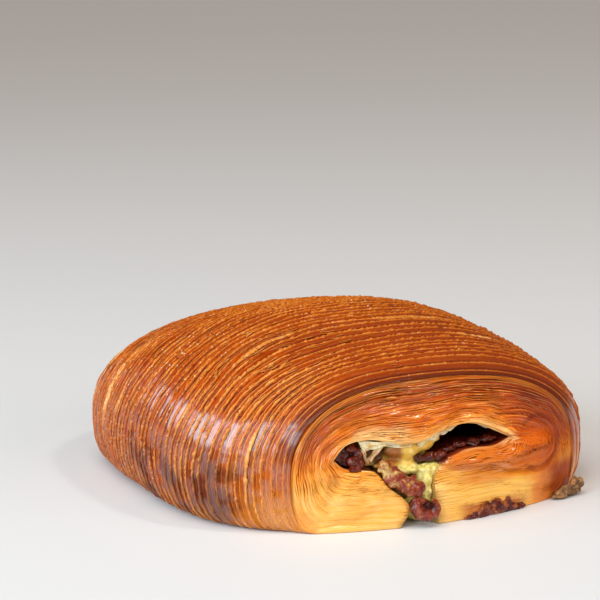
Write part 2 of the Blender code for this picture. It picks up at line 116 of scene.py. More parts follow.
LEFT_CHIPS = (
    ((-17.6, -2.2, 18.9), (1.5, 1.5, 0.9)), ((-16.2, -2.4, 17.8), (1.1, 1.3, 1.2)),
    ((-17.4, -2.0, 16.2), (1.8, 1.5, 1.2)), ((-16.0, -2.0, 15.4), (1.2, 1.3, 1.1)),
    ((-17.2, -1.7, 14.2), (1.9, 1.3, 0.7)),
)
SPILLED_CHOCOLATE = (
    ((-11.2, -0.9, 14.4), (1.4, 1.2, 1.2)), ((-10.2, -0.7, 13.3), (1.9, 1.4, 1.6)),
    ((-9.3, -0.6, 12.2), (2.2, 1.6, 1.9)), ((-8.3, -0.4, 11.3), (2.3, 1.7, 2.0)),
    ((-7.3, -0.3, 10.6), (2.3, 1.7, 2.0)), ((-6.2, -0.2, 9.9), (2.2, 1.7, 1.9)),
    ((-5.2, -0.1, 9.3), (2.1, 1.7, 1.8)), ((-4.2, 0.0, 8.9), (1.6, 1.6, 1.6)),
)
SPILLED_FOLD = (
    ((-4.8, 0.9, 5.3), (1.4, 1.7, 1.8)), ((-4.3, 1.0, 3.7), (1.6, 1.8, 1.7)),
    ((-2.4, 1.1, 3.0), (1.9, 1.8, 1.4)), ((-0.7, 1.2, 3.6), (1.2, 1.8, 1.6)),
    ((-0.5, 1.2, 5.1), (1.0, 1.7, 1.3)), ((-3.4, 0.4, 6.1), (1.7, 1.4, 1.0)),
    ((-2.1, -0.4, 4.8), (1.6, 1.4, 1.6)),
)
LEAKED_CHOCOLATE = (
    ((9.6, 0.1, 0.4), (2.0, 0.7, 0.5)), ((11.9, 0.1, 0.7), (2.2, 0.8, 1.0)),
    ((13.8, 0.1, 1.4), (1.9, 0.7, 1.7)),
    ((15.4, 0.1, 1.0), (2.2, 0.8, 1.3)), ((17.0, 0.0, 1.9), (1.4, 0.7, 1.9)),
    ((18.4, 0.1, 1.1), (2.0, 0.8, 1.6)),
    ((20.2, 0.0, 1.7), (1.1, 0.7, 1.8)), ((21.4, 0.1, 0.8), (1.8, 0.8, 1.2)),
    ((23.4, 0.1, 0.5), (1.8, 0.7, 0.6)),
)
CRISP_CRUMB = (
    ((35.6, 1.9, 0.8), (2.2, 1.2, 0.7)), ((37.4, 2.0, 1.5), (2.6, 1.3, 0.7)),
    ((39.4, 2.4, 2.5), (2.7, 1.3, 0.75)),
    ((41.2, 2.8, 3.5), (1.7, 1.2, 0.7)), ((40.6, 2.5, 1.3), (2.0, 1.1, 0.8)),
    ((42.2, 2.9, 2.4), (1.2, 1.2, 0.9)),
    ((38.9, 2.1, 0.7), (2.4, 1.1, 0.6)),
)
# Where the fillings end inside the back face.
CUSTARD_BACK = (
    ((-12.4, -2.4, 14.6), (2.2, 1.8, 1.4)), ((-9.4, -1.7, 15.4), (2.4, 2.0, 1.8)),
    ((-6.2, -2.0, 14.4), (2.3, 2.2, 1.4)), ((-3.0, -1.4, 15.3), (2.6, 2.0, 1.7)),
    ((0.2, -1.9, 14.9), (2.2, 2.1, 1.9)), ((2.4, -2.4, 14.2), (1.7, 1.8, 1.2)),
)
RIGHT_BACK = (
    ((5.4, -2.6, 15.4), (2.2, 1.8, 1.9)), ((9.0, -2.4, 15.6), (2.5, 1.9, 1.8)),
    ((12.9, -2.6, 15.7), (2.2, 1.8, 1.3)),
    ((15.6, -2.8, 15.5), (1.5, 1.6, 0.8)),
)
LEFT_BACK = (
    ((-19.0, -2.0, 15.4), (1.6, 1.6, 1.4)), ((-16.4, -1.8, 15.3), (1.6, 1.6, 1.8)),
)

# Corners of thin torn sheets in the slit, as (x, how far it stands out of the front face, z) in millimetres.
MEMBRANES = (
    ((-15.9, -1.5, 18.9), (-14.9, -1.4, 18.5), (-14.0, -1.8, 15.5), (-14.7, -1.7, 15.7)),
    ((-11.7, -1.3, 19.2), (-10.3, -1.2, 19.0), (-13.7, -1.8, 15.5), (-14.4, -1.7, 15.9)),
    ((-16.6, -0.7, 20.8), (-8.6, -0.7, 19.9), (-10.6, -1.3, 18.8), (-15.2, -1.5, 18.3)),
    ((14.0, -1.6, 21.2), (19.0, -1.6, 20.5), (20.6, -2.6, 18.7), (16.5, -2.8, 19.5)),
    ((19.0, -0.9, 20.2), (24.8, -0.8, 18.6), (24.6, -1.6, 17.6), (21.0, -1.5, 18.3)),
    ((-10.4, -1.2, 19.8), (-3.0, -1.1, 19.2), (-3.6, -2.0, 17.8), (-9.4, -2.0, 18.5)),
    ((-2.4, -1.1, 19.2), (5.0, -1.2, 20.9), (3.4, -2.2, 19.0), (-1.6, -2.1, 17.9)),
    ((4.8, -1.2, 20.9), (9.4, -1.3, 21.9), (8.0, -2.6, 20.4), (4.4, -2.4, 19.2)),
)

# Grid of the dough's mesh.
LEFT_COLUMNS, TOP_COLUMNS, RIGHT_COLUMNS = 24, 146, 28
CORNER_CROWDING = 1.5
FACE_ROWS_FRONT, FACE_ROWS_BACK = 100, 44
TUNNEL_ROWS, TIP_ROWS, TUNNEL_CROWDING = 22, 12, 0.6
FACE_LAYERS = 22
LAYER_RELIEF = 0.70 * MM
# The right flap's rolled lip on the front face, in millimetres: its middle, the crease under it and the
# segment from the slit's corner that the layers curl round.
LIP_MIDDLE = ((3, 8, 14, 20, 26, 32), (13.1, 14.2, 13.4, 13.6, 14.4, 14.6))
LIP_CREASE = ((4.5, 8.2, 13.8, 19.6, 27, 32.4, 36.8), (12.3, 12.0, 11.1, 9.8, 8.4, 9.0, 11.5))
LIP_SWELL, LIP_SPREAD, CREASE_DEPTH, CREASE_SPREAD = 2.2 * MM, 1.8, 0.9 * MM, 0.5
SWIRL = ((22.8, 17.0), (32.0, 15.2))
# One ridge's profile from front to back: (share of its width, share of its height).
RIDGE_PROFILE = ((0.0, 0.0), (0.12, 0.27), (0.50, 0.42), (0.72, 0.60), (0.88, 0.28))

# How far the rings lean towards the back: for rings at these s, (place round the roll, leans) in millimetres.
LEANING_RINGS = (-1, -0.95, -0.9, -0.82, -0.74, -0.575, -0.4, -0.3, 0, 0.5, 1)
RING_LEANS = (
    (-85, (0, 0, 0, 0.6, 1.2, 1.8, 2.2, 2.6, 4.5, 3.0, 0)),
    (-60, (0, 0, 0, 0.5, 1.2, 1.8, 2.1, 2.6, 4.5, 3.0, 0)),
    (-45, (0, 0, 0, 0, 0, 0, 0, 0, 0, 0, 0)),
    (-38, (0, 0.5, 0.8, 0.6, 0.8, 1.0, 0.8, 0.7, 0.5, 0.3, 0)),
    (-30, (0, 1.4, 1.9, 1.4, 2.0, 4.7, 4.2, 3.0, 2.0, 1.0, 0)),
    (-18, (0, 2.0, 3.5, 2.9, 3.9, 9.2, 7.5, 6.5, 5.0, 3.0, 0)),
    (-5, (0, 2.6, 4.7, 5.2, 5.6, 11.8, 11.5, 11.0, 9.0, 6.0, 0)),
    (12, (0, 3.4, 6.2, 7.3, 8.0, 13.7, 13.6, 13.4, 11.5, 7.5, 0)),
    (30, (0, 4.0, 7.5, 9.0, 10.0, 15.8, 15.6, 15.2, 13.0, 8.5, 0)),
    (60, (0, 4.0, 7.5, 9.5, 10.5, 16.5, 16.3, 16.0, 13.5, 9.0, 0)),
)
LEAN_BLUR = 11

# The golden edge that stands on each ridge.
EDGE_COLUMNS, EDGE_BASE_COLUMNS = 440, 44
EDGE_WIDTH, EDGE_HEIGHT = 1.25 * MM, 0.50 * MM
EDGE_BEAD = 1.15 * MM  # length of one bead along the edge
EDGE_ROOT = 0.5 * MM  # how deep an edge goes into the dough
EDGE_FOOT = 0.42  # how far up its ridge an edge stands
EDGE_PROFILE = ((-0.5, -0.5), (-0.36, 0.55), (0.02, 1.0), (0.36, 0.42), (0.5, -0.5))
FACE_EDGE_WIDTH, FACE_EDGE_HEIGHT, FACE_EDGE_SUNK = 0.40 * MM, 0.22 * MM, 0.35 * MM
FACE_EDGE_PROFILE = ((-0.5, -1.0), (-0.25, 0.8), (0.2, 1.0), (0.5, -1.0))
FLAKE_PROFILE = ((-0.5, 0.9), (0.1, 1.0), (0.5, 0.4), (0.45, 0.1), (-0.4, 0.55))
# Wide golden edges: (s of the ridge, from and to round the roll in millimetres).
WIDE_EDGES = ((0.33, -66, -33), (-0.869, -70, -38), (-0.575, -32, -1), (-0.575, 9, 40), (-0.505, -54, -38),
              (-0.74, 26, 48), (0.62, -58, -20), (0.12, -62, -44), (0.5, 10, 44), (0.0, 20, 60))
# The rough zone of broken edges and flakes: middle and spread in (s, millimetres round the roll).
ROUGH_MIDDLE, ROUGH_SPREAD = (-0.66, -17), (0.22, 17)
FLAKES, FLAKE_SEED = 130, 71

# Colours from the hollows to the crests, or from dark to light, as (share, colour code).
SKIN_TONES = ((0.1, "5a1402"), (0.3, "8c2c00"), (0.5, "ae4202"), (0.68, "c45c05"), (0.9, "df8e2e"))
FACE_TONES = ((0.0, "f5c068"), (0.18, "eea840"), (0.36, "ee942a"), (0.52, "da700c"), (0.68, "c04e02"),
              (0.84, "983200"), (1.0, "6b1e00"))
EDGE_TONES = ((0.12, "8e2e02"), (0.3, "b04a08"), (0.48, "ca6c1a"), (0.7, "e09042"), (0.92, "f6c280"))
CRUMB_TONES = ((0.3, "40261a"), (0.45, "74502f"), (0.58, "9a7146"), (0.72, "c87c32"))
CHOCOLATE_TONES = ((0.2, "210805"), (0.48, "43130a"), (0.78, "7a2612"))
SPILLED_TONES = ((0.25, "3e100a"), (0.42, "742416"), (0.54, "8e3c24"), (0.62, "ad7c40"), (0.76, "d2b874"))
BURNT_TONES = ((0.12, "280a08"), (0.42, "5a1c12"), (0.6, "aa5c28"))
# Middles of the flap's swirl and of the chocolate's stain in the custard, in millimetres.
SWIRL_CENTRE, CUSTARD_STAIN = (30.5, -54.4, 14.6), (-7.8, -53.3, 16.4)

# Lights: (name, place, size, power, colour, whether gloss mirrors it), all turned to LIT_POINT.
LIT_POINT = (0, 0, 0.02)
LIGHTS = (
    ("window", (-0.75, -0.12, 0.39), (1.2, 0.56), 10.0, (0.74, 0.89, 1.0), True),
    ("front_fill", (0.45, -0.90, 0.42), (0.9, 0.6), 4.5, (1.0, 0.95, 0.88), False),
    ("glint", (-0.22, -0.75, 0.50), (0.22, 0.10), 0.9, (1.0, 0.98, 0.95), True),
    ("lamp", (0.28, -0.35, 0.75), (0.1, 0.1), 1.3, (1.0, 0.97, 0.92), True),
)
SUN_POWER, SUN_ANGLE, SUN_COLOUR, SUN_PLACE = 1.7, 50, (1.0, 0.98, 0.95), (-0.30, -0.15, 1.0)
ROOM_COLOUR, ROOM_POWER = (1.0, 0.62, 0.42, 1), 0.11
FLOOR_COLOUR, FLOOR_SIZE = "d6d5d4", 3.0


def smooth(t):
    """0 below 0 and 1 above 1, with a soft step between."""
    t = np.clip(t, 0, 1)
    return t * t * (3 - 2 * t)


def noise(x, y, seed, z=0.0):
    """Smooth noise between -1 and 1, with features about one unit across."""
    table = np.random.default_rng(seed).uniform(-1, 1, (32, 32, 32))
    x, y, z = np.broadcast_arrays(*(np.asarray(v, float) for v in (x, y, z)))
    low = [np.floor(v).astype(int) for v in (x, y, z)]
    share = [smooth(v - f) for v, f in zip((x, y, z), low)]
    total = 0
    for i, j, k in np.ndindex(2, 2, 2):
        weight = 1
        for side, f in zip((i, j, k), share):
            weight = weight * (f if side else 1 - f)
        total = total + weight * table[(low[0] + i) % 32, (low[1] + j) % 32, (low[2] + k) % 32]
    return total


def waves(around, across, *kinds):
    """The sum of waves: each is (depth, length round the roll in mm, scale across, seed)."""
    total = 0.0
    for depth, length, scale, seed in kinds:
        total = total + depth * noise(around / (length * MM), across * scale, seed)
    return total


def resampled(line, shares):
    """The points at these shares of a polyline's length."""
    length = np.concatenate([[0], np.cumsum(np.hypot(*np.diff(line, axis=0).T))])
    at = np.asarray(shares) * length[-1]
    return np.stack([np.interp(at, length, line[:, k]) for k in range(2)], -1)


def along(points, shares):
    """The points at these shares of the length of a smooth curve through the given points."""
    p = np.asarray(points, float)
    ends = np.vstack([2 * p[0] - p[1], p, 2 * p[-1] - p[-2]])
    t = np.linspace(0, 1, 12, endpoint=False)[:, None]
    spans = []
    for a, b, c, d in zip(ends[:-3], ends[1:-2], ends[2:-1], ends[3:]):
        spans.append(0.5 * (2 * b + (c - a) * t + (2 * a - 5 * b + 4 * c - d) * t**2
                            + (3 * b - a - 3 * c + d) * t**3))
    return resampled(np.vstack([*spans, p[-1:]]), shares)


def at_depth(shapes, share):
    """Control points, in metres, this share of the way from the front end to the back end."""
    front, middle, back = (np.array(p, float) * MM for p in shapes)
    in_front = 1 - smooth((share - END_HOLD) / END_DEPTH)
    behind = 1 - smooth((1 - share - END_HOLD) / END_DEPTH)
    return middle + in_front * (front - middle) + behind * (back - middle)


def half_width(s):
    """Half the roll's width at s."""
    lost = np.where(s < 0, FRONT_NARROWING, BACK_NARROWING)
    return WIDTH / 2 * (1 - lost * np.abs(s) ** NARROWING_POWER)


def height(s):
    """The roll's height at s."""
    lost = np.where(s < 0, FRONT_LOWERING, BACK_LOWERING)
    return HEIGHT * (1 - lost * np.abs(s) ** LOWERING_POWER)


def section_centre(s):
    """X of the middle of the roll's section at s."""
    return FRONT_SHIFT * max(-s, 0) ** 2


def groove_y(end, x):
    """Y of the groove round an end face, which lies askew."""
    skew = FRONT_SKEW if end < 0 else BACK_SKEW
    return end * SKIN_LENGTH / 2 + skew * x


def face_y(end, x, z):
    """Y of an end face, which swells past its groove and most of all low in its middle."""
    w, h = half_width(np.float64(end)), height(np.float64(end))
    across = 1 - np.clip(np.abs(x - section_centre(end)) / w, 0, 1) ** BULGE_ACROSS
    up = 1 - np.clip(z / h, 0, 1) ** BULGE_UP
    return groove_y(end, x) + end * FACE_BULGE * across * up


def outer_section(s, tips, shares):
    """The skin's outline at s, -1 at the front groove and 1 at the back one."""
    w, h = float(half_width(np.float64(s))), float(height(np.float64(s)))
    widest, flat = WIDEST_HEIGHT * h, FLAT_SHARE * w
    roundness = DOME_ROUNDNESS + (DOME_ROUNDNESS_FRONT - DOME_ROUNDNESS) * max(-s, 0) ** 3
    turn = np.linspace(0, math.pi / 2, 60)
    corner_x = flat + (w - flat) * np.sin(turn) ** (2 / CORNER_ROUNDNESS)
    corner_z = widest * (1 - np.cos(turn) ** (2 / CORNER_ROUNDNESS))
    dome_x = w * np.cos(turn) ** (2 / roundness)
    dome_z = widest + (h - widest) * np.sin(turn) ** (2 / roundness)
    c = section_centre(s)
    left = np.stack([np.append(tips[0], c - corner_x), np.append(0, corner_z)], -1)
    top = np.stack([np.append(c - dome_x, (c + dome_x)[-2::-1]), np.append(dome_z, dome_z[-2::-1])], -1)
    right = np.stack([np.append((c + corner_x)[::-1], tips[1]), np.append(corner_z[::-1], 0)], -1)
    line = np.vstack([resampled(part, t) for part, t in zip((left, top, right), shares)])
    line[:, 1] *= 1 - LEAN * (line[:, 0] - c) / (WIDTH / 2)
    return line


def column_shares(left, top, right):
    """Places of the columns along a section's left corner, dome and right corner."""
    return (
        1 - np.linspace(1, 0, left + 1) ** CORNER_CROWDING,
        np.linspace(0, 1, top + 1)[1:],
        (np.linspace(0, 1, right + 1) ** CORNER_CROWDING)[1:],
    )


def blurred(grid, size):
    """Each row of a grid, blurred over this many of its values."""
    window = np.hanning(size + 2)[1:-1]
    window /= window.sum()
    return np.array([np.convolve(np.pad(row, size // 2, "edge"), window, "valid") for row in grid])


def ring_leans(around):
    """How far a ring leans towards the back, for each step of s and each column."""
    s = np.linspace(-1, 1, Skin.STEPS)
    places = np.arange(-95.0, 96.0)
    marks = [at for at, leans in RING_LEANS]
    rings = np.array([np.interp(s, LEANING_RINGS, leans) for at, leans in RING_LEANS])
    grid = np.array([np.interp(places, marks, ring) for ring in rings.T])
    grid = blurred(blurred(grid, LEAN_BLUR).T, LEAN_BLUR).T
    return np.array([np.interp(around / MM, places, row) for row in grid]) * MM


class Skin:
    """The smooth loaf under the ridges, on one set of columns round the wrap."""

    STEPS = 201

    def __init__(self, shares):
        lines = []
        for s in np.linspace(-1, 1, self.STEPS):
            share = (s + 1) / 2
            tips = (at_depth(LEFT_TIP, share)[-1, 0], at_depth(RIGHT_TIP, share)[-1, 0])
            lines.append(outer_section(s, tips, shares))
        self.lines = np.array(lines)
        step = np.gradient(self.lines, axis=1)
        self.normals = np.stack([-step[..., 1], step[..., 0]], -1)
        self.normals /= np.linalg.norm(self.normals, axis=-1)[..., None] + 1e-12
        middle = self.lines[self.STEPS // 2]
        length = np.append(0, np.cumsum(np.hypot(*np.diff(middle, axis=0).T)))
        top = int(np.argmax(middle[:, 1]))
        self.around = length - length[top]
        self.columns = np.arange(len(middle))
        self.leans = ring_leans(self.around)

    def between(self, values, s):
        """Values that are known at each step, for each column at its own s."""
        k = (s + 1) / 2 * (self.STEPS - 1)
        i = np.clip(np.floor(k).astype(int), 0, self.STEPS - 2)
        f = (k - i)[..., None]
        return values[i, self.columns] * (1 - f) + values[i + 1, self.columns] * f

    def point(self, s, lift, shift=0.0):
        """Points of the columns at s, lifted off the smooth loaf and shifted along Y."""
        s = np.clip(s + 0 * self.around, -1, 1)
        s = s + self.between(self.leans[..., None], s)[..., 0] * (1 - s**40) / (SKIN_LENGTH / 2)
        line, normal = self.between(self.lines, s), self.between(self.normals, s)
        x, z = line[..., 0], line[..., 1]
        off_plate = smooth(z / (1.5 * MM))
        inner = 1 - s**8
        turn = (self.around - self.around[0]) / (self.around[-1] - self.around[0]) * 2 * math.pi
        calm = 1 - 0.6 * smooth((self.around / MM + 5) / 20)
        wander = RIDGE_WANDER * np.sin(2 * turn + 3 * s) + waves(self.around, s, (0.9, 17, 5, 3)) * MM
        wander = wander + waves(self.around, s, (0.35, 6, 14, 4)) * MM * calm
        skew = np.maximum(-s, 0) ** 2 * FRONT_SKEW + np.maximum(s, 0) ** 2 * BACK_SKEW
        base = (1 - smooth(z / BASE_TURN)) * smooth((np.abs(s) - BASE_HOLD) / (1 - BASE_HOLD))
        swell = np.where(s < 0, face_y(-1, x, 0 * z) - groove_y(-1, x), face_y(1, x, 0 * z) - groove_y(1, x))
        y = s * SKIN_LENGTH / 2 + skew * x + (wander + shift) * inner * off_plate + swell * base
        lift = lift * off_plate
        return np.stack([x + normal[..., 0] * lift, y, np.maximum(z + normal[..., 1] * lift, 0)], -1)


def ridges():
    """(start, end, crest, height) of each ridge, in s and as a share of the ridge height."""
    rng = np.random.default_rng(RIDGE_SEED)
    s = np.linspace(-1, 1, 400)
    slope = np.gradient(half_width(s), s * SKIN_LENGTH / 2)
    length = np.append(0, np.cumsum(np.sqrt(1 + (SLOPE_SHARE * slope[1:]) ** 2) * np.diff(s)))
    count = round(length[-1] * SKIN_LENGTH / 2 / RIDGE_PITCH)
    widths = 1 + RIDGE_UNEVENNESS * rng.uniform(-1, 1, count)
    ends = np.concatenate([[0], np.cumsum(widths)]) / widths.sum()
    ends = np.interp(ends * length[-1], length, s)
    made = []
    for start, end in zip(ends[:-1], ends[1:]):
        crest = CREST_SHARE + CREST_UNEVENNESS * rng.uniform(-1, 1)
        made.append((start, end, crest, rng.uniform(0.6, 1.0)))
    return made


def inner_section(share, shares, tip_rows):
    """The outline of the space for the filling, in the dough's columns, and both flap tips."""
    parts = (at_depth(LEFT_TOP, share), at_depth(ROOF, share), at_depth(RIGHT_TOP, share))
    line = np.vstack([along(part, t) for part, t in zip(parts, shares)])
    rows = np.linspace(0, 1, tip_rows + 1)
    return line, along(at_depth(LEFT_TIP, share), rows), along(at_depth(RIGHT_TIP, share), rows)


class Shape:
    """Points and faces gathered from grids, with values for the shader at each point."""

    def __init__(self):
        self.points, self.faces, self.place, self.kind = [], [], [], []

    def add(self, grid, place=(0, 0, 0), kind=(0, 0, 0)):
        """Adds a grid's points and returns their numbers."""
        grid = np.asarray(grid, float)
        first = sum(len(p) for p in self.points)
        self.points.append(grid.reshape(-1, 3))
        for values, value in ((self.place, place), (self.kind, kind)):
            value = np.stack(np.broadcast_arrays(*value, grid[..., 0])[:3], -1)
            values.append(value.reshape(-1, 3))
        return np.arange(first, first + grid.size // 3).reshape(grid.shape[:-1])

    def quads(self, grid, flip=False):
        """Adds the faces between the rows of a grid of point numbers."""
        a, b, c, d = grid[:-1, :-1], grid[:-1, 1:], grid[1:, 1:], grid[1:, :-1]
        order = (a, d, c, b) if flip else (a, b, c, d)
        self.faces.extend(np.stack(order, -1).reshape(-1, 4).tolist())

    def build(self, name, material):
        """The object with these points and faces."""
        mesh = bpy.data.meshes.new(name)
        mesh.from_pydata(np.vstack(self.points).tolist(), [], self.faces)
        for label, values in (("place", self.place), ("kind", self.kind)):
            layer = mesh.attributes.new(label, "FLOAT_VECTOR", "POINT")
            layer.data.foreach_set("vector", np.vstack(values).astype(np.float32).ravel())
        mesh.materials.append(material)
        mesh.polygons.foreach_set("use_smooth", [True] * len(mesh.polygons))
        obj = bpy.data.objects.new(name, mesh)
        bpy.context.scene.collection.objects.link(obj)
        return obj


def zipped(fine, coarse):
    """Triangles between two rows of point numbers that start and end together."""
    faces, i, j = [], 0, 0
    while i < len(fine) - 1 or j < len(coarse) - 1:
        if j == len(coarse) - 1 or (i < len(fine) - 1
                                    and (i + 1) / (len(fine) - 1) <= (j + 1) / (len(coarse) - 1)):
            faces.append((fine[i], fine[i + 1], coarse[j]))
            i += 1
        else:
            faces.append((fine[i], coarse[j + 1], coarse[j]))
            j += 1
    return faces


def outward(obj):
    """Turns every face of a closed mesh to point out."""
    bpy.context.view_layer.objects.active = obj
    obj.select_set(True)
    bpy.ops.object.mode_set(mode="EDIT")
    bpy.ops.mesh.select_all(action="SELECT")
    bpy.ops.mesh.normals_make_consistent(inside=False)
    bpy.ops.object.mode_set(mode="OBJECT")
    obj.select_set(False)
    return obj


def skin_rows(skin):
    """Rows of the skin, with each row's ridge number and its s."""
    rows, numbers, places = [], [], []
    for number, (start, end, crest, high) in enumerate(ridges()):
        for share, lift in RIDGE_PROFILE:
            s = start + (end - start) * share * crest / CREST_SHARE
            uneven = 0.75 + waves(skin.around, number, (0.35, 9, 3.7, 11))
            rough = waves(skin.around, number * 6 + share * 9, (0.10, 1.8, 1, 12))
            lift = lift * high * uneven + rough * (0.3 + lift)
            rows.append(skin.point(s, lift * RIDGE_HEIGHT * (1 - s**20)))
            numbers.append(number + share)
            places.append(s)
    rows.append(skin.point(1.0, 0.0))
    numbers.append(len(ridges()))
    places.append(1.0)
    return np.array(rows), np.array(numbers), np.array(places)


class EndFace:
    """One end of the roll, on the dough's columns: r is 0 at the slit and 1 at the rim."""

    def __init__(self, end, rim, skin, rows, shares):
        self.end, self.skin, self.rows = end, skin, rows
        self.inner, self.left_tip, self.right_tip = inner_section((end + 1) / 2, shares, rows)
        outer = rim[:, [0, 2]]
        columns = np.linspace(0, 1, len(self.inner))
        near_left = np.clip(1 - columns * 5, 0, 1)[:, None] ** 2
        near_right = np.clip(columns * 5 - 4, 0, 1)[:, None] ** 2
        r = (np.arange(rows + 1) / rows)[:, None, None]
        line = self.inner + (outer - self.inner) * r
        line = line + near_left * (self.left_tip[:, None] - line[:, :1])
        self.line = line + near_right * (self.right_tip[:, None] - line[:, -1:])
        self.band = np.hypot(*(self.line[-1] - self.line[0]).T)

    def at(self, r):
        """The face's (x, z) at r, which is one number or one per column."""
        k = np.clip(r, 0, 1) * self.rows + 0 * self.skin.around
        i = np.clip(np.floor(k).astype(int), 0, self.rows - 1)
        f = (k - i)[:, None]
        columns = np.arange(len(self.skin.around))
        return (self.line[i, columns] * (1 - f) + self.line[i + 1, columns] * f).T

    def relief(self, r, x, z):
        """How far the face lies inside its smooth surface: waves, the slit's lips and the groove."""
        broad = waves(self.skin.around, r, (0.55, 13, 3.3, 24), (0.3, 5, 8, 25)) * MM
        lip = SLIT_LIP * (1 - smooth(r / 0.08)) ** 2
        sink = GROOVE_DEPTH * smooth((r - 0.93) / 0.05) * smooth(z / (5 * MM))
        inner = smooth(r / 0.15) * smooth((1 - r) / 0.12) * smooth(z / (3 * MM))
        return broad * inner + lip + sink + (self.rolled_lip(x / MM, z / MM) if self.end < 0 else 0)

    def rolled_lip(self, x, z):
        """The crease over the right flap, less the swell of its lip."""
        reach = smooth((x - 3) / 5) * smooth((38 - x) / 8)
        swell = np.exp(-(((z - np.interp(x, *LIP_MIDDLE)) / LIP_SPREAD) ** 2))
        crease = np.exp(-(((z - np.interp(x, *LIP_CREASE)) / CREASE_SPREAD) ** 2))
        deep = 0.2 + 0.8 * smooth((x - 13) / 10)
        return (CREASE_DEPTH * deep * crease - LIP_SWELL * swell) * reach

    def layer(self, r):
        """The number of the dough layer at r, which wanders round the slit."""
        wave = waves(self.skin.around, r, (0.9, 15, 4, 21), (0.6, 5.5, 7, 22))
        wave = wave * smooth(r / 0.08) * smooth((1 - r) / 0.1)
        if self.end > 0:
            return r * FACE_LAYERS + wave
        points = np.stack(self.at(r), -1) / MM
        start, end = np.array(SWIRL)
        share = np.clip((points - start) @ (end - start) / ((end - start) @ (end - start)), 0, 1)
        away = np.linalg.norm(points - start - share[:, None] * (end - start), axis=-1) * MM
        inside = np.minimum(r * self.band, away)
        return inside / (inside + (1 - r) * self.band + 1e-9) * FACE_LAYERS + wave

    def fine(self, layer, z):
        """How far a layer's surface steps back behind its own edge."""
        number = np.floor(layer)
        step = layer - number
        strength = np.clip(0.5 + waves(self.skin.around, number, (1.0, 10, 2.3, 23)), 0, 1.4)
        strength = strength * (0.28 + 0.72 * smooth((z / MM - 5) / 9))
        return LAYER_RELIEF * strength * smooth(step / 0.6) * (1 - smooth((step - 0.75) / 0.25)) * smooth(
            z / (2 * MM))

    def point(self, r, out):
        """Points of all columns at r, which is one number or one per column, standing out of the face."""
        x, z = self.at(r)
        out = out - self.relief(r, x, z)
        return np.stack([x, face_y(self.end, x, z) + self.end * out, z], -1)

    def grid(self, shape):
        """Adds the face's rows, all but its rim, to a shape. Returns their point numbers."""
        rows, layers, places = [], [], []
        for r in np.arange(self.rows) / self.rows:
            layer = self.layer(r)
            z = self.line[round(r * self.rows), :, 1]
            rows.append(self.point(r, -self.fine(layer, z)))
            layers.append(layer)
            places.append(r + 0 * layer)
        return shape.add(rows, (self.skin.around / MM, np.array(places), self.end), (1, np.array(layers), 0))


def inside(points, share):
    """Points of a section that lies this share of the way from the front face to the back one."""
    x, z = points.T
    return np.stack([x, face_y(-1, x, z) * (1 - share) + face_y(1, x, z) * share, z], -1)


def make_pastry(material):
    """The dough: its ridged skin, both end faces and the slit through it, as one closed body."""
    shares = column_shares(LEFT_COLUMNS, TOP_COLUMNS, RIGHT_COLUMNS)
    skin = Skin(shares)
    shape = Shape()
    rows, numbers, s = skin_rows(skin)
    outside = shape.add(rows, (skin.around / MM, numbers[:, None], s[:, None]))
    front = EndFace(-1, rows[0], skin, FACE_ROWS_FRONT, shares).grid(shape)
    back = EndFace(1, rows[-1], skin, FACE_ROWS_BACK, shares).grid(shape)

    tunnel, left, right = [front[0]], [], []
    even = np.linspace(0, 1, TUNNEL_ROWS + 1)[1:-1]
    for share in smooth(even) * TUNNEL_CROWDING + even * (1 - TUNNEL_CROWDING):
        inner, left_tip, right_tip = inner_section(share, shares, TIP_ROWS)
        ring = shape.add(inside(inner, share), (skin.around / MM, 0, share), (1, 0, 1))
        tunnel.append(ring)
        for ids, tip, edge in ((left, left_tip, ring[0]), (right, right_tip, ring[-1])):
            below = shape.add(inside(tip[1:-1], share), (0, 0, share), (1, 0, 1))
            ids.append(np.append(edge, below))
    tunnel.append(back[0])
    shape.quads(outside)
    shape.quads(np.array(tunnel))
    shape.quads(np.vstack([front, outside[:1]]))
    shape.quads(np.vstack([back, outside[-1:]]))
    for ids, column in ((np.array(left), 0), (np.array(right), -1)):
        shape.quads(ids)
        shape.faces.extend(zipped(front[:, column].tolist(), ids[0].tolist()))
        shape.faces.extend(zipped(back[:, column].tolist(), ids[-1].tolist()))
        bottom = [int(front[-1, column]), *ids[:, -1].tolist(), int(back[-1, column])]
        shape.faces.extend(zipped(outside[:, column].tolist(), bottom))
    return outward(shape.build("pastry_loaf", material))


def srgb(code):
    """A colour written as RRGGBB, in linear light."""
    parts = [int(code[i:i + 2], 16) / 255 for i in (0, 2, 4)]
    return tuple(c / 12.92 if c <= 0.04045 else ((c + 0.055) / 1.055) ** 2.4 for c in parts) + (1.0,)


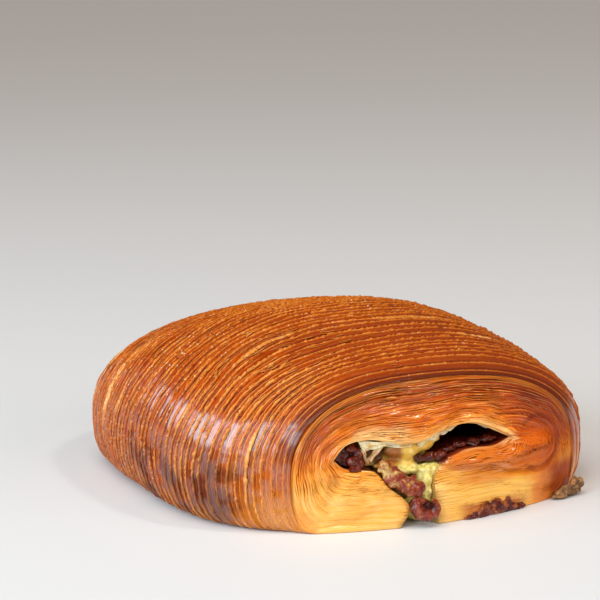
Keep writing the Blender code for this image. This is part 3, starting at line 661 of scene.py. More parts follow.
class Shader:
    """A material's nodes, with short calls for those that these materials use.

    where, x, y and z are places on the roll in millimetres. A factor is a number, a node's value or a
    fade, written as (value, from, to).
    """

    def __init__(self, name, roughness, coat=0.0, coat_roughness=0.2, subsurface=0.0, specular=0.5,
                 coat_ior=1.5):
        self.material = bpy.data.materials.new(name)
        self.material.use_nodes = True
        self.tree = self.material.node_tree
        self.inputs = self.tree.nodes["Principled BSDF"].inputs
        settings = {"Roughness": roughness, "Coat Weight": coat, "Coat Roughness": coat_roughness,
                    "Coat IOR": coat_ior, "Specular IOR Level": specular}
        if subsurface:
            settings.update({"Subsurface Weight": subsurface, "Subsurface Scale": 1.5 * MM,
                             "Subsurface Radius": (1.0, 0.45, 0.15)})
        for label, value in settings.items():
            self.inputs[label].default_value = value
        place = self.node("ShaderNodeTexCoord").outputs["Object"]
        self.where = self.vector_math("MULTIPLY", place, (1 / MM,) * 3).outputs[0]
        self.x, self.y, self.z = self.split(self.where)

    def node(self, kind, inputs=(), **settings):
        """A new shader node with these inputs and settings."""
        made = self.tree.nodes.new(kind)
        for key, value in settings.items():
            setattr(made, key, value)
        for key, value in dict(inputs).items():
            self.put(made.inputs[key], value)
        return made

    def put(self, socket, value):
        """Links a node's value to a socket, or sets the socket to a number."""
        if isinstance(value, bpy.types.NodeSocket):
            self.tree.links.new(value, socket)
        else:
            socket.default_value = value

    def math(self, operation, a, b=0.0, c=0.0):
        return self.node("ShaderNodeMath", {0: a, 1: b, 2: c}, operation=operation).outputs[0]

    def vector_math(self, operation, a, b):
        return self.node("ShaderNodeVectorMath", {0: a, 1: b}, operation=operation)

    def split(self, vector):
        """The three parts of a vector."""
        return self.node("ShaderNodeSeparateXYZ", {0: vector}).outputs

    def attribute(self, name):
        """The three parts of a mesh's attribute."""
        return self.split(self.node("ShaderNodeAttribute", attribute_name=name).outputs["Vector"])

    def noise(self, vector, scale=1.0, detail=2.0, roughness=0.5, distortion=0.0):
        return self.node("ShaderNodeTexNoise", {
            "Vector": vector, "Scale": scale, "Detail": detail, "Roughness": roughness,
            "Distortion": distortion}).outputs["Fac"]

    def streaks(self, a, a_scale, b, b_scale, seed=0.0, detail=2.0, roughness=0.5):
        """Noise over two values, each with a scale of its own."""
        place = {0: self.times(a, a_scale), 1: self.times(b, b_scale), 2: seed}
        return self.noise(self.node("ShaderNodeCombineXYZ", place).outputs[0], 1.0, detail, roughness)

    def cells(self, vector, scale):
        """The distance to the nearest of many scattered points."""
        return self.node("ShaderNodeTexVoronoi", {"Vector": vector, "Scale": scale}).outputs[0]

    def own(self, number):
        """A value between 0 and 1 for each whole number."""
        return self.node("ShaderNodeTexWhiteNoise", {"W": number}, noise_dimensions="1D").outputs["Value"]

    def distance(self, point):
        """How far each place is from a point, in millimetres."""
        return self.vector_math("DISTANCE", self.where, point).outputs["Value"]

    def ramp(self, value, stops):
        """A colour ramp with (place, colour code) stops."""
        made = self.node("ShaderNodeValToRGB", {0: value})
        band = made.color_ramp
        while len(band.elements) < len(stops):
            band.elements.new(0.5)
        for element, (place, code) in zip(band.elements, stops):
            element.position = place
            element.color = srgb(code)
        return made.outputs[0]

    def fade(self, value, low, high):
        """0 below low and 1 above high, or the other way round, smoothly."""
        return self.node("ShaderNodeMapRange", {
            "Value": value, "From Min": low, "From Max": high}, interpolation_type="SMOOTHSTEP").outputs[0]

    def mix(self, share, a, b):
        """Colour a, with this share of colour b."""
        return self.node("ShaderNodeMix", {0: share, 6: a, 7: b}, data_type="RGBA").outputs[2]

    def linear(self, value, slope, base):
        """The value times a slope, plus a base."""
        return self.math("MULTIPLY_ADD", value, slope, base)

    def times(self, *factors):
        """The product of factors."""
        values = [self.fade(*factor) if isinstance(factor, tuple) else factor for factor in factors]
        made = values[0]
        for value in values[1:]:
            made = self.math("MULTIPLY", made, value)
        return made

    def total(self, *terms):
        """The sum of terms: each is a value, a number or a list of factors."""
        values = [self.times(*term) if isinstance(term, list) else term for term in terms]
        made = values[0]
        for value in values[1:]:
            made = self.math("ADD", made, value)
        return made

    def tinted(self, colour, *tints):
        """A colour after each tint, which is a colour code and the factors of its share."""
        for code, *factors in tints:
            colour = self.mix(self.times(*factors), colour, srgb(code))
        return colour

    def finish(self, colour, height=None, depth=0.0, roughness=None):
        """The material, with its colour, its bumps and its roughness."""
        self.put(self.inputs["Base Color"], colour)
        if height is not None:
            bump = self.node("ShaderNodeBump", {"Height": height, "Distance": depth, "Strength": 1.0})
            self.put(self.inputs["Normal"], bump.outputs[0])
        if roughness is not None:
            self.put(self.inputs["Roughness"], roughness)
        return self.material


def skin_colours(made, around, ridge, s):
    """Brown glossy bands with darker and lighter stretches, burnt patches low on the left, and painted shade
    in the slits, the even valleys and on the right of the top.
    """
    number, within_ridge = made.math("FLOOR", ridge), made.math("FRACT", ridge)
    stretch = made.streaks(around, 0.11, ridge, 1.1)
    streak = made.streaks(around, 0.5, ridge, 7.0, detail=5.0, roughness=0.65)
    blotch = made.noise(made.where, 0.055, 3.0)
    value = made.total([made.own(number), 0.2], [stretch, 0.5], [streak, 0.6], [blotch, 0.3], -0.36)
    drift = made.streaks(around, 0.6, number, 1.0)
    within = made.linear(drift, 0.22, made.math("SUBTRACT", within_ridge, 0.11))
    right_top_shade = made.times((around, 0, 40), (around, 66, 50))
    even = made.times((around, -38, -8), (around, 66, 50), (s, 0.45, -0.15))

    # Painted shade: the dark slits beside each golden edge and, where the rings run even, the valley at each
    # ridge's start.
    beside_edge = made.math("MAXIMUM", made.times((within, 0.42, 0.48), (within, 0.6, 0.54)),
                            made.times((within, 0.86, 0.92), (within, 1.0, 0.97)))
    slit = made.streaks(around, 0.34, ridge, 1.6, 7.0, detail=4.0, roughness=0.65)
    slit = made.times((slit, 0.44, 0.58), beside_edge, made.linear(even, -0.8, 1.0))
    slit = made.math("MAXIMUM", slit, made.times(even, (within_ridge, 0.2, 0.06), 0.75))
    thin = made.streaks(around, 0.16, number, 1.9, 5.0)
    thin = made.times((thin, 0.42, 0.54), (streak, 0.25, 0.5), made.linear(even, -0.85, 1.0))
    thin = made.math("MAXIMUM", thin, made.times((s, -0.66, -0.78), (around, -14, -30), (streak, 0.2, 0.4)))
    thin_edge = made.times(thin, (within, 0.2, 0.26), (within, 0.36, 0.3))
    thin_slit_shade = made.times(thin, (within, 0.35, 0.39), (within, 0.47, 0.42))
    calm = made.linear(even, -0.7, 1.0)
    colour = made.tinted(
        made.ramp(value, SKIN_TONES),
        ("943402", even, 0.6),
        ("d47c2a", (within, 0.42, 0.66), (within, 1.0, 0.86), (streak, 0.35, 0.6), calm, 0.35),
        ("dc9440", thin_edge, 0.75),
        # painted shade in the thin slits, the slits and the valleys
        ("641802", thin_slit_shade, 0.7),
        ("561002", slit, 0.92),
        ("d98226", (made.z, 7, 2), (blotch, 0.35, 0.55), (streak, 0.3, 0.6), 0.7),  # at the base
        ("ee9f3c", (s, -0.8, -0.95), (made.z, 13, 3), (streak, 0.1, 0.45), 0.9),  # front corners
        ("86300f", (around, -42, -58), (s, -0.84, -0.7), 0.4),  # low on the left flank
        # painted shade: darker on the right of the top, away from the window
        ("822a02", right_top_shade, 0.6),
        ("c4601a", (s, -0.72, -0.88), (around, -44, -56), (streak, 0.3, 0.6), 0.6),  # left of the face
    )
    slit = made.total(slit, [thin_slit_shade, 0.7], [thin_edge, -0.7])
    shine = made.streaks(around, 0.13, number, 2.7, 11.0)
    shine = made.linear(made.fade(shine, 0.4, 0.54), 0.95, -0.6)
    return burnt(made, colour, around, s, streak), streak, slit, shine


def burnt(made, colour, around, s, grain):
    """Darkens a colour to the purple-brown of the burnt patches low on the left flank."""
    patch = made.streaks(around, 0.10, s, 6.0, 3.0, detail=3.0)
    where = made.times((around, -50, -60), (around, -78, -70), (s, 0.1, -0.25), (s, -0.93, -0.8))
    return made.tinted(colour, ("3c1216", where, (patch, 0.42, 0.6), made.linear(grain, 0.6, 0.5), 0.85))


def face_colours(made, around, r, layer):
    """Thin layers, yellow low down, orange over the slit and brown towards the groove, with a painted
    highlight on each layer's front edge and painted shade in its recessed step and in the crease under the
    flap's lip.
    """
    x, y, z = made.x, made.y, made.z
    wave = made.streaks(around, 0.09, layer, 0.35, detail=3.0)
    wandering = made.total([layer, 1.5], made.streaks(around, 0.2, layer, 0.5))
    line = made.streaks(around, 0.02, wandering, 1.0, detail=3.0, roughness=0.6)
    contrast = made.linear(made.fade(z, 7, 16), 0.28, 0.17)
    value = made.total(
        [(z, 7, 22), 0.48], [(r, 0.4, 1.0), (z, 8, 22), 0.28], [(x, 16, 34), (z, 4, 13), 0.2],
        [(x, 0, 5), (z, 9, 6), -0.13], [wave, 0.42], [made.math("SUBTRACT", line, 0.5), contrast],
        [made.own(made.math("FLOOR", layer)), 0.14], [(z, 8, 18), 0.04],
        [(r, 0.42, 0.08), (z, 17, 20), (x, 27, 20), -0.24], -0.19)

    step = made.math("FRACT", layer)
    broken = made.streaks(around, 0.11, layer, 0.8, 9.0, detail=3.0)
    layer_edge = made.math("MAXIMUM", made.fade(step, 0.84, 0.93), made.fade(step, 0.14, 0.05))
    right_flap = made.times((x, 2, 6), (x, 40, 33), (y, -40, -50))
    under = made.linear(x, 0.165, z)  # the crease under the flap's lip slopes down to the right
    lip = made.times(right_flap, (under, 12.7, 13.5), (z, 18.6, 17.4))
    relief = made.times(made.linear(made.fade(z, 5, 14), 0.75, 0.25), made.linear(lip, -0.6, 1.0))
    away = made.linear(broken, 1.6, made.math("SUBTRACT", made.distance(SWIRL_CENTRE), 0.8))
    spots = made.streaks(x, 0.22, z, 0.3, 4.0)
    spotted_x = made.linear(spots, 8.0, made.math("SUBTRACT", x, 4.0))
    stain_top = made.linear(made.streaks(x, 0.4, z, 0.3, detail=3.0), 5.2, 0.4)
    over_stain = made.math("SUBTRACT", z, stain_top)
    front = (y, -20, -40)
    colour = made.tinted(
        made.ramp(value, FACE_TONES),
        # painted highlight on each layer's pale front edge, and painted shade in the recessed step behind it
        ("ffb860", layer_edge, (broken, 0.42, 0.56), relief, 0.45),
        ("983604", (step, 0.45, 0.6), (step, 0.84, 0.76), (broken, 0.56, 0.46), relief, 0.55),
        ("a8400a", (away, 11, 3), 0.5),  # round the swirl
        ("cf5a0a", lip, 0.7),
        # painted shade in the crease under the flap's lip
        ("7c2604", right_flap, (under, 11.9, 12.6), (under, 13.5, 12.9), (broken, 0.3, 0.5),
         (x, 14, 23), 0.75),
        ("f4b434", (x, 2, 6), (z, 9.5, 7), front, 0.4),  # low on the right flap
        ("e88218", right_flap, (under, 14.0, 12.2), (z, 7.0, 8.8), (x, 5, 12), 0.7),
        ("6c1c08", (away, 5.5, 6.2), (away, 7.3, 6.7), (x, 25, 29), 0.75),  # the arc round the swirl
        ("a23802", (x, 27, 36), (z, 7, 11), 0.4),
        ("c87222", (r, 0.86, 0.98), (z, 3, 9), 0.5),  # beside the groove
        ("f0c684", (x, -20, -16), (x, -2, -7), (r, 0.4, 0.22), (z, 16.5, 18.5), (broken, 0.3, 0.5), 0.75),
        ("d8661a", (spotted_x, 25, 30), (z, 10, 7), front, 0.7),  # the right corner
        ("8e2c0a", (spotted_x, 29, 36), (z, 11, 7), front, 0.85),
        ("df7418", (x, -23, -29), (z, 8, 3), (spots, 0.42, 0.6), 0.6),  # the left corner
        ("a8481a", (x, 5, 10), (x, 28, 23), front, (over_stain, 1.2, -0.8), 0.8),  # round the leak
    )
    return colour, line, lip


def dough_material():
    """Baked dough: the skin's bands, the end faces' layers and the pale inside of the slit."""
    made = Shader("baked_dough", 0.36, coat=0.85, coat_roughness=0.2, specular=0.1, coat_ior=1.85)
    around, second, s = made.attribute("place")
    face, layer, inside = made.attribute("kind")
    x, z = made.x, made.z
    skin, streak, slit, shine = skin_colours(made, around, second, s)
    skin = made.tinted(skin, ("4f1408", (made.math("ABSOLUTE", s), 0.955, 0.99), (z, 11, 22), 0.7))
    layers, line, lip = face_colours(made, around, second, layer)
    layers = made.tinted(layers, ("fbd68c", (second, 0.19, 0.08), (z, 15, 17.5), (x, 27, 22), 0.75))
    pale = made.ramp(made.noise(made.where, 0.35, 3.0), ((0.3, "b97f35"), (0.6, "e8c27a")))
    off_middle = made.math("ABSOLUTE", made.math("ADD", x, 3.0))
    pale = made.tinted(pale, ("7c2a12", (off_middle, 4, 7), (z, 12, 14)))  # darker in the pockets: partly soiled by the chocolate, partly painted shade
    colour = made.mix(made.fade(face, 0.3, 0.7), skin, layers)
    colour = made.mix(made.fade(inside, 0.1, 0.6), colour, pale)
    on_skin = made.math("SUBTRACT", 1.0, face)
    made.put(made.inputs["Coat Weight"], made.total(
        [face, -0.35], [lip, (x, 26, 18), 0.5], 0.85, [face, (x, 16, 26), -0.25],
        [made.math("SUBTRACT", streak, 0.5), on_skin, 1.1], [shine, on_skin, (around, -10, -25)],
        [(around, -50, -60), on_skin, -0.4]))
    rough = made.total([streak, 0.3], [face, 0.04], 0.2, [lip, -0.15])
    height = made.total(made.noise(made.where, 2.2, 3.0), [line, face, 1.6], [slit, on_skin, -1.6])
    return made.finish(colour, height, 0.14 * MM, rough)


def edge_material():
    """The golden beaded edge of a dough layer, with dark pits of painted shade, painted glints on its beads,
    caramelised stretches and painted shade on the right.
    """
    made = Shader("layer_edge", 0.3, coat=0.3, coat_roughness=0.1, specular=0.25)
    around, ridge, s = made.attribute("place")
    golden = made.attribute("kind")[0]
    stretch = made.streaks(around, 0.13, ridge, 1.7)
    grain = made.noise(made.where, 1.1, 3.0, 0.6)
    blotch = made.noise(made.where, 0.055, 3.0)
    value = made.total([stretch, 0.95], grain, [blotch, 0.3], [golden, 0.26], -0.7)
    glint_place = made.vector_math("ADD", made.where, (50.0,) * 3).outputs[0]
    pits = made.fade(made.cells(made.where, 0.78), 0.28, 0.14)
    slim = (golden, 0.6, 0.1)
    colour = made.tinted(
        made.ramp(value, EDGE_TONES),
        ("ffe6bd", (made.cells(glint_place, 0.95), 0.22, 0.13), 0.7),  # painted glints on the beads
        # painted shade in the pits
        ("742408", pits, 0.7),
        ("b4560e", (s, -0.3, 0.5), slim, 0.5),  # towards the back
        ("a34a18", (around, -42, -58), (s, -0.84, -0.7), slim, 0.25),  # low on the left flank
        ("cc7420", (around, -38, -8), (s, 0.45, -0.15), 0.5),  # over the top
        ("e09a48", (s, -0.2, -0.8), (around, -8, -30), 0.5),  # beside the front groove
        ("a44802", (around, 5, 45), slim, 0.55),  # painted shade on the right, away from the window
    )
    height = made.total(grain, [pits, -1.0], made.noise(made.where, 3.0, 2.0))
    return made.finish(burnt(made, colour, around, s, grain), height, 0.16 * MM)


def face_edge_material():
    """The thin layer edges of an end face: pale below, orange over the slit."""
    made = Shader("face_layer_edge", 0.42, coat=0.2, coat_roughness=0.2, specular=0.2)
    around, r, _ = made.attribute("place")
    layers, line, _ = face_colours(made, around, r, made.times(r, float(FACE_LAYERS)))
    return made.finish(made.tinted(layers, ("ffb84a", 0.14)), line, 0.1 * MM)


def membrane_material():
    """Thin torn sheets of dough: pale under the roof, tan where they hang."""
    made = Shader("dough_membrane", 0.4, coat=0.25, coat_roughness=0.2, subsurface=0.3)
    pale = made.ramp(made.noise(made.where, 0.7, 3.0), ((0.3, "dcae6a"), (0.5, "efd3a0"), (0.7, "fae9c8")))
    colour = made.tinted(pale, ("b9804c", (made.z, 19.0, 17.6), (made.x, -8, -10), 0.8))
    return made.finish(colour, made.noise(made.where, 2.0, 3.0), 0.1 * MM)


def custard_material():
    """Set custard: smooth and yellow under the roof, grainy and greener below, stained beside the chips, with
    painted shade behind the torn sheets.
    """
    made = Shader("set_custard", 0.34, coat=0.35, coat_roughness=0.2, subsurface=0.25)
    x, y, z = made.x, made.y, made.z
    tone = made.noise(made.where, 0.5, 4.0)
    smooth_part = made.ramp(tone, ((0.3, "d19c34"), (0.5, "dfb246"), (0.7, "efcf74")))
    grainy = made.ramp(made.noise(made.where, 1.1, 4.0), ((0.3, "b8a444"), (0.5, "e0cc6e"), (0.7, "f6eaae")))
    colour = made.mix(made.fade(z, 14.6, 13.4), smooth_part, grainy)
    stain = made.math("SUBTRACT", made.distance(CUSTARD_STAIN), made.linear(tone, 2.4, 1.0))
    colour = made.tinted(
        colour,
        ("8c3410", (stain, 0.8, -0.6), 0.8),
        ("5a1c0c", (x, -8.6, -9.8), (z, 14.2, 15.0), (y, -40, -46), 0.9),  # painted shade behind the torn sheets
    )
    return made.finish(colour, made.noise(made.where, 1.5, 3.0), 0.12 * MM)


def chocolate_material(name, tones, roughness):
    """Melted and set chocolate: creamier up on the left, with painted shade in the fold at the foot."""
    made = Shader(name, roughness, coat=0.6, coat_roughness=0.12, specular=0.2)
    x, z = made.x, made.z
    grain = made.noise(made.where, 0.55, 4.0, 0.62, 0.4)
    value = made.total(grain, [(z, 8.4, 6.6), -0.08], [(x, -4.5, -11), (z, 8, 12), 0.09])
    # painted shade in the fold at the foot
    colour = made.tinted(made.ramp(value, tones), (
        "280a08", (x, -3.6, -2.8), (x, -0.4, -1.2), (z, 4.0, 4.6), (z, 6.4, 5.8), 0.85))
    return made.finish(colour, made.noise(made.where, 1.6, 4.0), 0.2 * MM)


def crumb_material():
    """Toasted crumb: grey-brown with tan edges."""
    made = Shader("toasted_crumb", 0.6)
    colour = made.ramp(made.noise(made.where, 0.5, 4.0, 0.6, 0.8), CRUMB_TONES)
    return made.finish(colour, made.noise(made.where, 1.4, 4.0), 0.25 * MM)


def ribbons(shape, rows, around, number, place, golden=0.0):
    """Adds one closed ribbon from the rows round its cross-section."""
    ids = shape.add(rows, (around / MM, number, place), (golden, 0, 0))
    shape.quads(np.vstack([ids, ids[:1]]))
    shape.faces.append(ids[:, 0].tolist())
    shape.faces.append(ids[:, -1][::-1].tolist())


def make_edges(name, numbers, material):
    """The beaded edges that stand on these ridges, each one a closed ribbon round the roll."""
    base = EDGE_BASE_COLUMNS
    skin = Skin(column_shares(base, EDGE_COLUMNS - 2 * base, base))
    shape = Shape()
    made = ridges()
    around = skin.around
    for number in numbers:
        start, end, crest, high = made[number]
        centre = start + (end - start) * crest
        strength = np.clip(0.66 + waves(around, number, (0.5, 12, 2.9, 32), (0.45, 3.5, 5.3, 33)), 0.0, 1.3)
        rough = roughness(centre, around)
        even = regular(centre, around) * (1 - rough)
        strength = strength + even * (0.9 + waves(around, number, (0.35, 1.3, 1.3, 37)) - strength)
        strength = strength * (1 - rough * smooth(waves(around, number, (1.5, 1.5, 4.1, 36))))
        golden = golden_share(number, around)
        bead = noise(around / EDGE_BEAD * 2, number * 7.7, 34)
        behind = smooth((centre + 0.2) / 0.8)
        tall = EDGE_HEIGHT * strength * (0.66 + 0.65 * bead * (1 - 0.6 * behind)) * (1 - centre**20)
        tall = tall * (1 - 0.4 * golden) * (1 - 0.35 * behind)
        wide = EDGE_WIDTH * (0.45 + 0.55 * strength) * (0.9 + 0.4 * bead) * (1 + 1.4 * golden)
        wide = wide * (0.75 + 0.25 * smooth((1 - np.abs(centre)) / 0.15)) * (1 - 0.42 * even * (1 - golden))
        sway = waves(around, number, (0.2, 2.6, 3.1, 35)) * MM * (1 - 0.7 * even)
        ground = RIDGE_HEIGHT * high * EDGE_FOOT
        rows = []
        for across, up in EDGE_PROFILE:
            lift = ground + (tall if up > 0 else EDGE_ROOT) * up
            rows.append(skin.point(centre, lift, across * wide + sway))
        ribbons(shape, np.array(rows), around, number + crest, centre, golden)
    return outward(shape.build(name, material))


def roughness(s, around):
    """How broken the skin is at a place, between 0 and 1."""
    (s_middle, middle), (s_spread, spread) = ROUGH_MIDDLE, ROUGH_SPREAD
    return np.exp(-((s - s_middle) / s_spread) ** 2 - ((around / MM - middle) / spread) ** 2)


def regular(s, around):
    """How even the rings are at a place, between 0 and 1: most beside the front groove and over the top."""
    over_top = smooth((around / MM + 38) / 30) * smooth((66 - around / MM) / 16) * smooth((0.45 - s) / 0.6)
    in_front = 0.55 * smooth((0.1 - s) / 0.4) + 0.45 * smooth((-0.6 - s) / 0.15)
    return np.maximum(over_top, in_front * smooth((66 - around / MM) / 16))


def golden_share(number, around):
    """How wide and golden this ridge's edge is round the roll, between 0 and 1."""
    made = ridges()
    centres = np.array([start + (end - start) * crest for start, end, crest, high in made])
    golden = 0 * around
    for s, low, high in WIDE_EDGES:
        if number == int(np.argmin(np.abs(centres - s))):
            at = around / MM
            golden = golden + smooth((at - low) / 11) * smooth((high - at) / 11)
    return golden


def make_flakes(material):
    """Short curled scraps of skin, thickest in the rough zone, and a loose strand beside the groove."""
    skin = Skin(column_shares(12, 300, 14))
    rng = np.random.default_rng(FLAKE_SEED)
    shape = Shape()
    places = []
    for k in range(FLAKES):
        spread = 1.0 if k % 3 else 2.4
        s = ROUGH_MIDDLE[0] + ROUGH_SPREAD[0] * spread * rng.normal() * 0.7
        at = ROUGH_MIDDLE[1] + ROUGH_SPREAD[1] * spread * rng.normal() * 0.7
        places.append((s, at, rng.uniform(1.2, 4.5), rng.uniform(0.35, 0.85), rng.uniform(-0.5, 0.5)))
    places.append((-0.985, -68.5, 5.0, 0.7, 0.9))
    for s, at, long, wide, lean in places:
        if not (-0.99 < s < 0.9 and -80 < at < 70):
            continue
        along_it = np.linspace(-0.5, 0.5, 9)
        where = (at + long * along_it) * MM
        slim = np.sqrt(np.clip(1 - (2 * along_it) ** 4, 0.08, 1))
        curl = rng.uniform(0.05, 0.28) * (0.4 + np.abs(2 * along_it) ** 2 * rng.uniform(0, 1))
        rows = []
        for across, up in FLAKE_PROFILE:
            spots = []
            for a, c, w, shift in zip(where, curl, slim, lean * long * along_it):
                y = across * wide * w + shift
                line = skin.point(s, (0.24 + c * up) * MM, y * MM)
                spots.append([np.interp(a, skin.around, line[:, axis]) for axis in range(3)])
            rows.append(spots)
        ribbons(shape, np.array(rows), where, 0.0, s, rng.uniform(0, 0.8))
    return outward(shape.build("skin_flakes", material))


def make_membranes(material):
    """Thin torn sheets of dough at the slit's roof and beside the left pocket."""
    shape = Shape()
    t = np.linspace(0, 1, 14)
    u, v = np.meshgrid(t, t)
    for seed, corners in enumerate(MEMBRANES):
        a, b, c, d = (np.array(p, float)[:, None, None] for p in corners)
        x, out, z = (a * (1 - u) + b * u) * (1 - v) + (d * (1 - u) + c * u) * v
        z = z + 0.5 * noise(u * 5, seed * 3.7, 81) * v
        out = out + 0.6 * noise(u * 4, v * 4 + seed * 5.3, 82)
        front = np.stack([x * MM, face_y(-1, x * MM, z * MM) - out * MM, z * MM], -1)
        back = front + np.array((0.05, 0.16, 0.05)) * MM
        near, far = shape.add(front), shape.add(back)
        shape.quads(near)
        shape.quads(far, flip=True)
        loop = [np.concatenate([g[0, :-1], g[:-1, -1], g[-1, :0:-1], g[::-1, 0]]) for g in (near, far)]
        shape.quads(np.array(loop)[::-1])
    return outward(shape.build("dough_membranes", material))


def make_face_edges(name, end, count, columns, material):
    """Thin edges of the dough layers that stand out of an end face, wrapped round the slit."""
    base = columns // 10
    shares = column_shares(base, columns - 2 * base, base)
    skin = Skin(shares)
    rim = skin.point(end, 0.0)
    face = EndFace(end, rim, skin, 60, shares)
    band = np.hypot(*(face.line[-1] - face.line[0]).T) + 1 * MM
    around = skin.around
    shape = Shape()
    for number in range(1, count):
        inner = min(1, number / 3, (count - number) / 3)
        r = number / count + waves(around, number, (0.012, 7, 2.1, 41), (0.035 * inner, 15, 0.25, 42))
        r = np.clip(r, 0.02, 0.975)
        strength = 0.1 + waves(around, number, (1.1, 9, 3.3, 43), (0.5, 2.5, 4.7, 44))
        ends = smooth(np.linspace(0, 25, len(around))) * smooth(np.linspace(25, 0, len(around)))
        x, _, z = face.point(r, 0.0).T
        away = 1 if end > 0 else smooth((25 - x / MM) / 5)
        tall = np.clip(strength, -0.2, 1.2) * FACE_EDGE_HEIGHT * ends * (0.3 + 0.7 * smooth((z / MM - 6) / 9))
        tall = tall * away - FACE_EDGE_SUNK * (1 - away)
        wide = FACE_EDGE_WIDTH * (0.8 + waves(around, number, (0.3, 2, 1.9, 45))) / band
        rows = []
        for across, up in FACE_EDGE_PROFILE:
            rows.append(face.point(r + across * wide, (tall if up > 0 else EDGE_ROOT) * up))
        ribbons(shape, np.array(rows), around, r, end)
    return outward(shape.build(name, material))


def filling(shape, sides, setbacks, pocket, seed):
    """Adds a filling's body, which runs from end to end of the slit, to a shape."""
    rows, columns = 90, 28
    (left_front, left_back), (right_front, right_back) = np.array(sides) * MM
    across = np.linspace(0, 1, columns)
    spread = np.linspace(0, 1, 60)
    rings = []
    for share in np.linspace(0, 1, rows):
        xs = left_front + (left_back - left_front) * share
        xs = xs + (right_front + (right_back - right_front) * share - xs) * across
        roof, left, right = (along(at_depth(part, share), spread) for part in (ROOF, LEFT_TOP, RIGHT_TOP))
        floor = np.vstack([left[::-1], right[::-1]])
        low = np.interp(xs, floor[:, 0], floor[:, 1]) + GAP
        free = pocket * (1 - smooth((share - POCKET_SHARE) / POCKET_TAPER))
        bumps = 0.4 * MM * (1 + noise(xs / (2.5 * MM), share * 40, seed))
        high = np.maximum(np.interp(xs, roof[:, 0], roof[:, 1]) - GAP - free - bumps, low + GAP)
        ring = np.stack([np.append(xs, xs[::-1]), np.append(low, high[::-1])], -1)
        front, back = face_y(-1, ring[:, 0], ring[:, 1]), face_y(1, ring[:, 0], ring[:, 1])
        y = (front + setbacks[0] * MM) * (1 - share) + (back - setbacks[1] * MM) * share
        rings.append(shape.add(np.stack([ring[:, 0], y, ring[:, 1]], -1)))
    rings = np.array(rings)
    shape.quads(np.hstack([rings, rings[:, :1]]))
    for ring in (rings[0], rings[-1]):
        shape.quads(np.array([ring[:columns], ring[columns:][::-1]]))


def balls(shape, lumps, crumbs=0, crumb_size=0.6, seed=0, end=-1):
    """Adds ellipsoids at an end face to a shape, with smaller balls scattered over each one."""
    bpy.ops.mesh.primitive_ico_sphere_add(subdivisions=3, radius=1)
    ball = bpy.context.object
    unit = np.array([v.co for v in ball.data.vertices])
    faces = [tuple(face.vertices) for face in ball.data.polygons]
    bpy.data.objects.remove(ball)
    rng = np.random.default_rng(seed)
    spots = []
    for (x, out, z), radii in lumps:
        middle = np.array((x, face_y(end, x * MM, z * MM) / MM + end * out, z))
        spots.append((middle, np.array(radii)))
        for _ in range(crumbs):
            way = rng.normal(size=3)
            way /= np.linalg.norm(way)
            size = crumb_size * rng.uniform(0.5, 1.3)
            spots.append((middle + way * np.array(radii) * 0.92, size * rng.uniform(0.7, 1.2, 3)))
    for middle, radii in spots:
        points = middle + unit * radii
        points[:, 2] = np.maximum(points[:, 2], 0.02)
        first = sum(len(p) for p in shape.points)
        shape.add(points * MM)
        shape.faces.extend(tuple(first + i for i in face) for face in faces)


def joined(shape, name, material, grain, bumps=(), calm=None):
    """One closed body of all a shape's bodies, with bumps of (height, size) in millimetres.

    calm gives, for heights in millimetres, the share of the bumps that stays.
    """
    obj = shape.build(name, material)
    remesh = obj.modifiers.new("join", "REMESH")
    remesh.mode = "VOXEL"
    remesh.voxel_size = grain * MM
    remesh.use_smooth_shade = True
    bpy.context.view_layer.objects.active = obj
    bpy.ops.object.modifier_apply(modifier=remesh.name)
    mesh = obj.data
    points, normals = np.empty(len(mesh.vertices) * 3), np.empty(len(mesh.vertices) * 3)
    mesh.vertices.foreach_get("co", points)
    mesh.vertices.foreach_get("normal", normals)
    points, normals = points.reshape(-1, 3) / MM, normals.reshape(-1, 3)
    lift = 0
    for seed, (tall, size) in enumerate(bumps):
        lift = lift + tall * noise(points[:, 0] / size, points[:, 1] / size, 60 + seed, points[:, 2] / size)
    if calm is not None:
        lift = lift * calm(points[:, 2])
    points = points + normals * np.reshape(lift, (-1, 1))
    points[:, 2] = np.maximum(points[:, 2], 0.02)
    mesh.vertices.foreach_set("co", (points * MM).ravel())
    mesh.update()
    return obj


def below_mound(z):
    """The share of the custard's bumps that stays at a height: little on its smooth mound."""
    return 0.15 + 0.85 * (1 - smooth((z - 13.2) / 1.2))


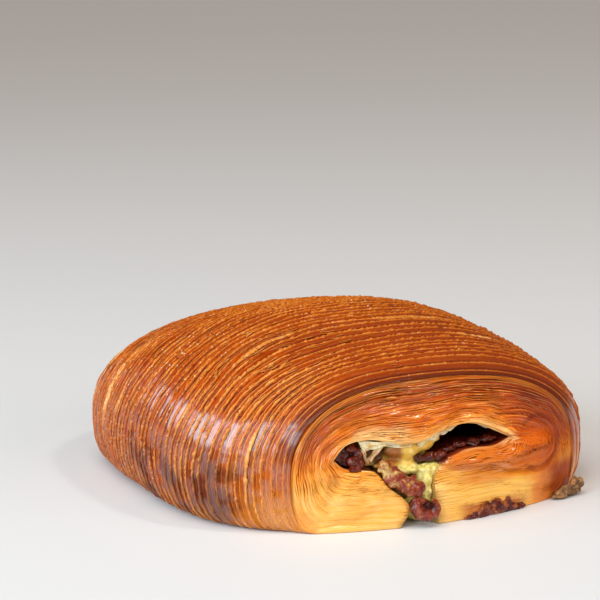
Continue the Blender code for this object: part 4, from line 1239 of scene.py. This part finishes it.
def make_fillings():
    """The custard, the chocolates and the crumb, as (piece, node, slot).

    A row has the piece, node, slot, material, grain and bumps, the body through the slit, and the balls.
    """
    dark = chocolate_material("dark_chocolate", CHOCOLATE_TONES, 0.22)
    glazed = chocolate_material("glazed_chocolate", SPILLED_TONES, 0.2)
    burnt_crust = chocolate_material("burnt_chocolate", BURNT_TONES, 0.4)
    made = []
    for name, node, slot, material, grain, bumps, body, lumps in (
        ("custard_body", "pastry_cream", "custard", custard_material(), 0.38, ((0.2, 0.9), (0.22, 0.5)),
         (CUSTARD_SIDES, CUSTARD_SETBACKS, 0, 51),
         ((CUSTARD_MOUND,), (CUSTARD_GRAINY, 14, 0.5, 52), (CUSTARD_BACK, 8, 0.6, 61, 1))),
        ("right_chocolate_body", "right_chocolate", "dark_chocolate", dark, 0.34, ((0.3, 1.6), (0.15, 0.6)),
         (RIGHT_CHOCOLATE_SIDES, RIGHT_CHOCOLATE_SETBACKS, POCKET_HEIGHT, 53),
         ((POCKET_CHUNKS, 6, 0.6, 54), (RIGHT_BACK, 6, 0.6, 62, 1))),
        ("left_chocolate_body", "left_chocolate", "dark_chocolate", dark, 0.26, ((0.2, 1.2), (0.1, 0.5)),
         (LEFT_CHOCOLATE_SIDES, LEFT_CHOCOLATE_SETBACKS, 0, 55),
         ((LEFT_CHIPS, 5, 0.45, 56), (LEFT_BACK, 5, 0.45, 63, 1))),
        ("spilled_lumps", "spilled_chocolate", "glazed_chocolate", glazed, 0.16, ((0.45, 1.5), (0.15, 0.7)),
         (), ((SPILLED_CHOCOLATE, 12, 0.65, 57), (SPILLED_FOLD,))),
        ("leaked_crust", "leaked_chocolate", "burnt_chocolate", burnt_crust, 0.14, ((0.25, 1.0), (0.15, 0.4)),
         (), ((LEAKED_CHOCOLATE, 16, 0.36, 58),)),
        ("crisp_flake", "crisp_crumb", "toasted_crumb", crumb_material(), 0.15, ((0.25, 1.6), (0.12, 0.5)),
         (), ((CRISP_CRUMB, 4, 0.4, 59),)),
    ):
        shape = Shape()
        if body:
            filling(shape, *body)
        for group in lumps:
            balls(shape, *group)
        calm = below_mound if node == "pastry_cream" else None
        made.append((joined(shape, name, material, grain, bumps, calm), node, slot))
    return made


def placed(name, data, place):
    """An object of the scene at a place that is turned to look back at LIT_POINT."""
    obj = bpy.data.objects.new(name, data)
    obj.location = place
    obj.rotation_euler = (Vector(LIT_POINT) - Vector(place)).to_track_quat("-Z", "Y").to_euler()
    bpy.context.scene.collection.objects.link(obj)
    return obj


def make_camera():
    """A long lens at the photograph's height and side, with the roll where the photograph has it."""
    azimuth, elevation, roll = math.radians(-26.11), math.radians(16.0), math.radians(1.2)
    distance = 0.527
    focal = 2044.0  # in pixels of a 600-pixel frame
    target, seen_at = Vector((3.23, -2.54, 0)) * MM, (340.0, 465.0)
    back = Vector((math.sin(azimuth) * math.cos(elevation), -math.cos(azimuth) * math.cos(elevation),
                   math.sin(elevation)))
    right = (-back).cross(Vector((0, 0, 1))).normalized()
    up = right.cross(-back)
    turned_right = right * math.cos(roll) - up * math.sin(roll)
    turned_up = up * math.cos(roll) + right * math.sin(roll)
    facing = Matrix((turned_right, turned_up, back)).transposed()
    seen = Vector((seen_at[0] - 300, 300 - seen_at[1], -focal)).normalized()
    facing = facing @ seen.rotation_difference(Vector((0, 0, -1))).to_matrix()
    data = bpy.data.cameras.new("camera")
    data.sensor_width = 36
    data.lens = focal * 36 / 600
    data.clip_start = 0.01
    camera = bpy.data.objects.new("camera", data)
    bpy.context.scene.collection.objects.link(camera)
    camera.matrix_world = Matrix.Translation(target + back * distance) @ facing.to_4x4()
    bpy.context.scene.camera = camera


def make_lights():
    """A cool window on the left, soft light in front, two glints and the sky."""
    for name, place, size, power, colour, mirrored in LIGHTS:
        data = bpy.data.lights.new(name, "AREA")
        data.shape = "RECTANGLE"
        data.size, data.size_y = size
        data.energy, data.color = power, colour
        placed(name, data, place).visible_glossy = mirrored
    data = bpy.data.lights.new("sky", "SUN")
    data.energy, data.angle, data.color = SUN_POWER, math.radians(SUN_ANGLE), SUN_COLOUR
    sky = placed("sky", data, (0, 0, 0))
    sky.rotation_euler = Vector(SUN_PLACE).to_track_quat("Z", "Y").to_euler()
    sky.visible_glossy = False


def make_stage():
    """A plain pale floor and a dim warm room."""
    mesh = bpy.data.meshes.new("floor")
    corners = [(x * FLOOR_SIZE, y * FLOOR_SIZE, 0) for x, y in ((-1, -1), (1, -1), (1, 1), (-1, 1))]
    mesh.from_pydata(corners, [], [(0, 1, 2, 3)])
    mesh.materials.append(Shader("floor_paint", 0.6).finish(srgb(FLOOR_COLOUR)))
    floor = bpy.data.objects.new("floor", mesh)
    bpy.context.scene.collection.objects.link(floor)
    world = bpy.data.worlds.new("room")
    world.use_nodes = True
    background = world.node_tree.nodes["Background"]
    background.inputs[0].default_value, background.inputs[1].default_value = ROOM_COLOUR, ROOM_POWER
    bpy.context.scene.world = world
    bpy.context.scene.view_settings.view_transform = "Standard"


def main():
    """Builds the stage and all the pieces."""
    make_stage()
    make_lights()
    make_camera()
    dough, edge, face_edge = dough_material(), edge_material(), face_edge_material()
    pastry = make_pastry(dough)
    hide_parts("pastry")
    count = len(ridges())
    pieces = [
        pastry,
        make_edges("layer_edges_front", range(0, count // 2), edge),
        make_edges("layer_edges_back", range(count // 2, count), edge),
        make_face_edges("face_layers_front", -1, 28, 400, face_edge),
        make_face_edges("face_layers_back", 1, 20, 260, face_edge),
        make_flakes(edge),
        make_membranes(membrane_material()),
    ]
    for piece in pieces:
        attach(piece, "root")
    for piece, node, slot in make_fillings():
        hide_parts(node)
        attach(piece, "root")


main()
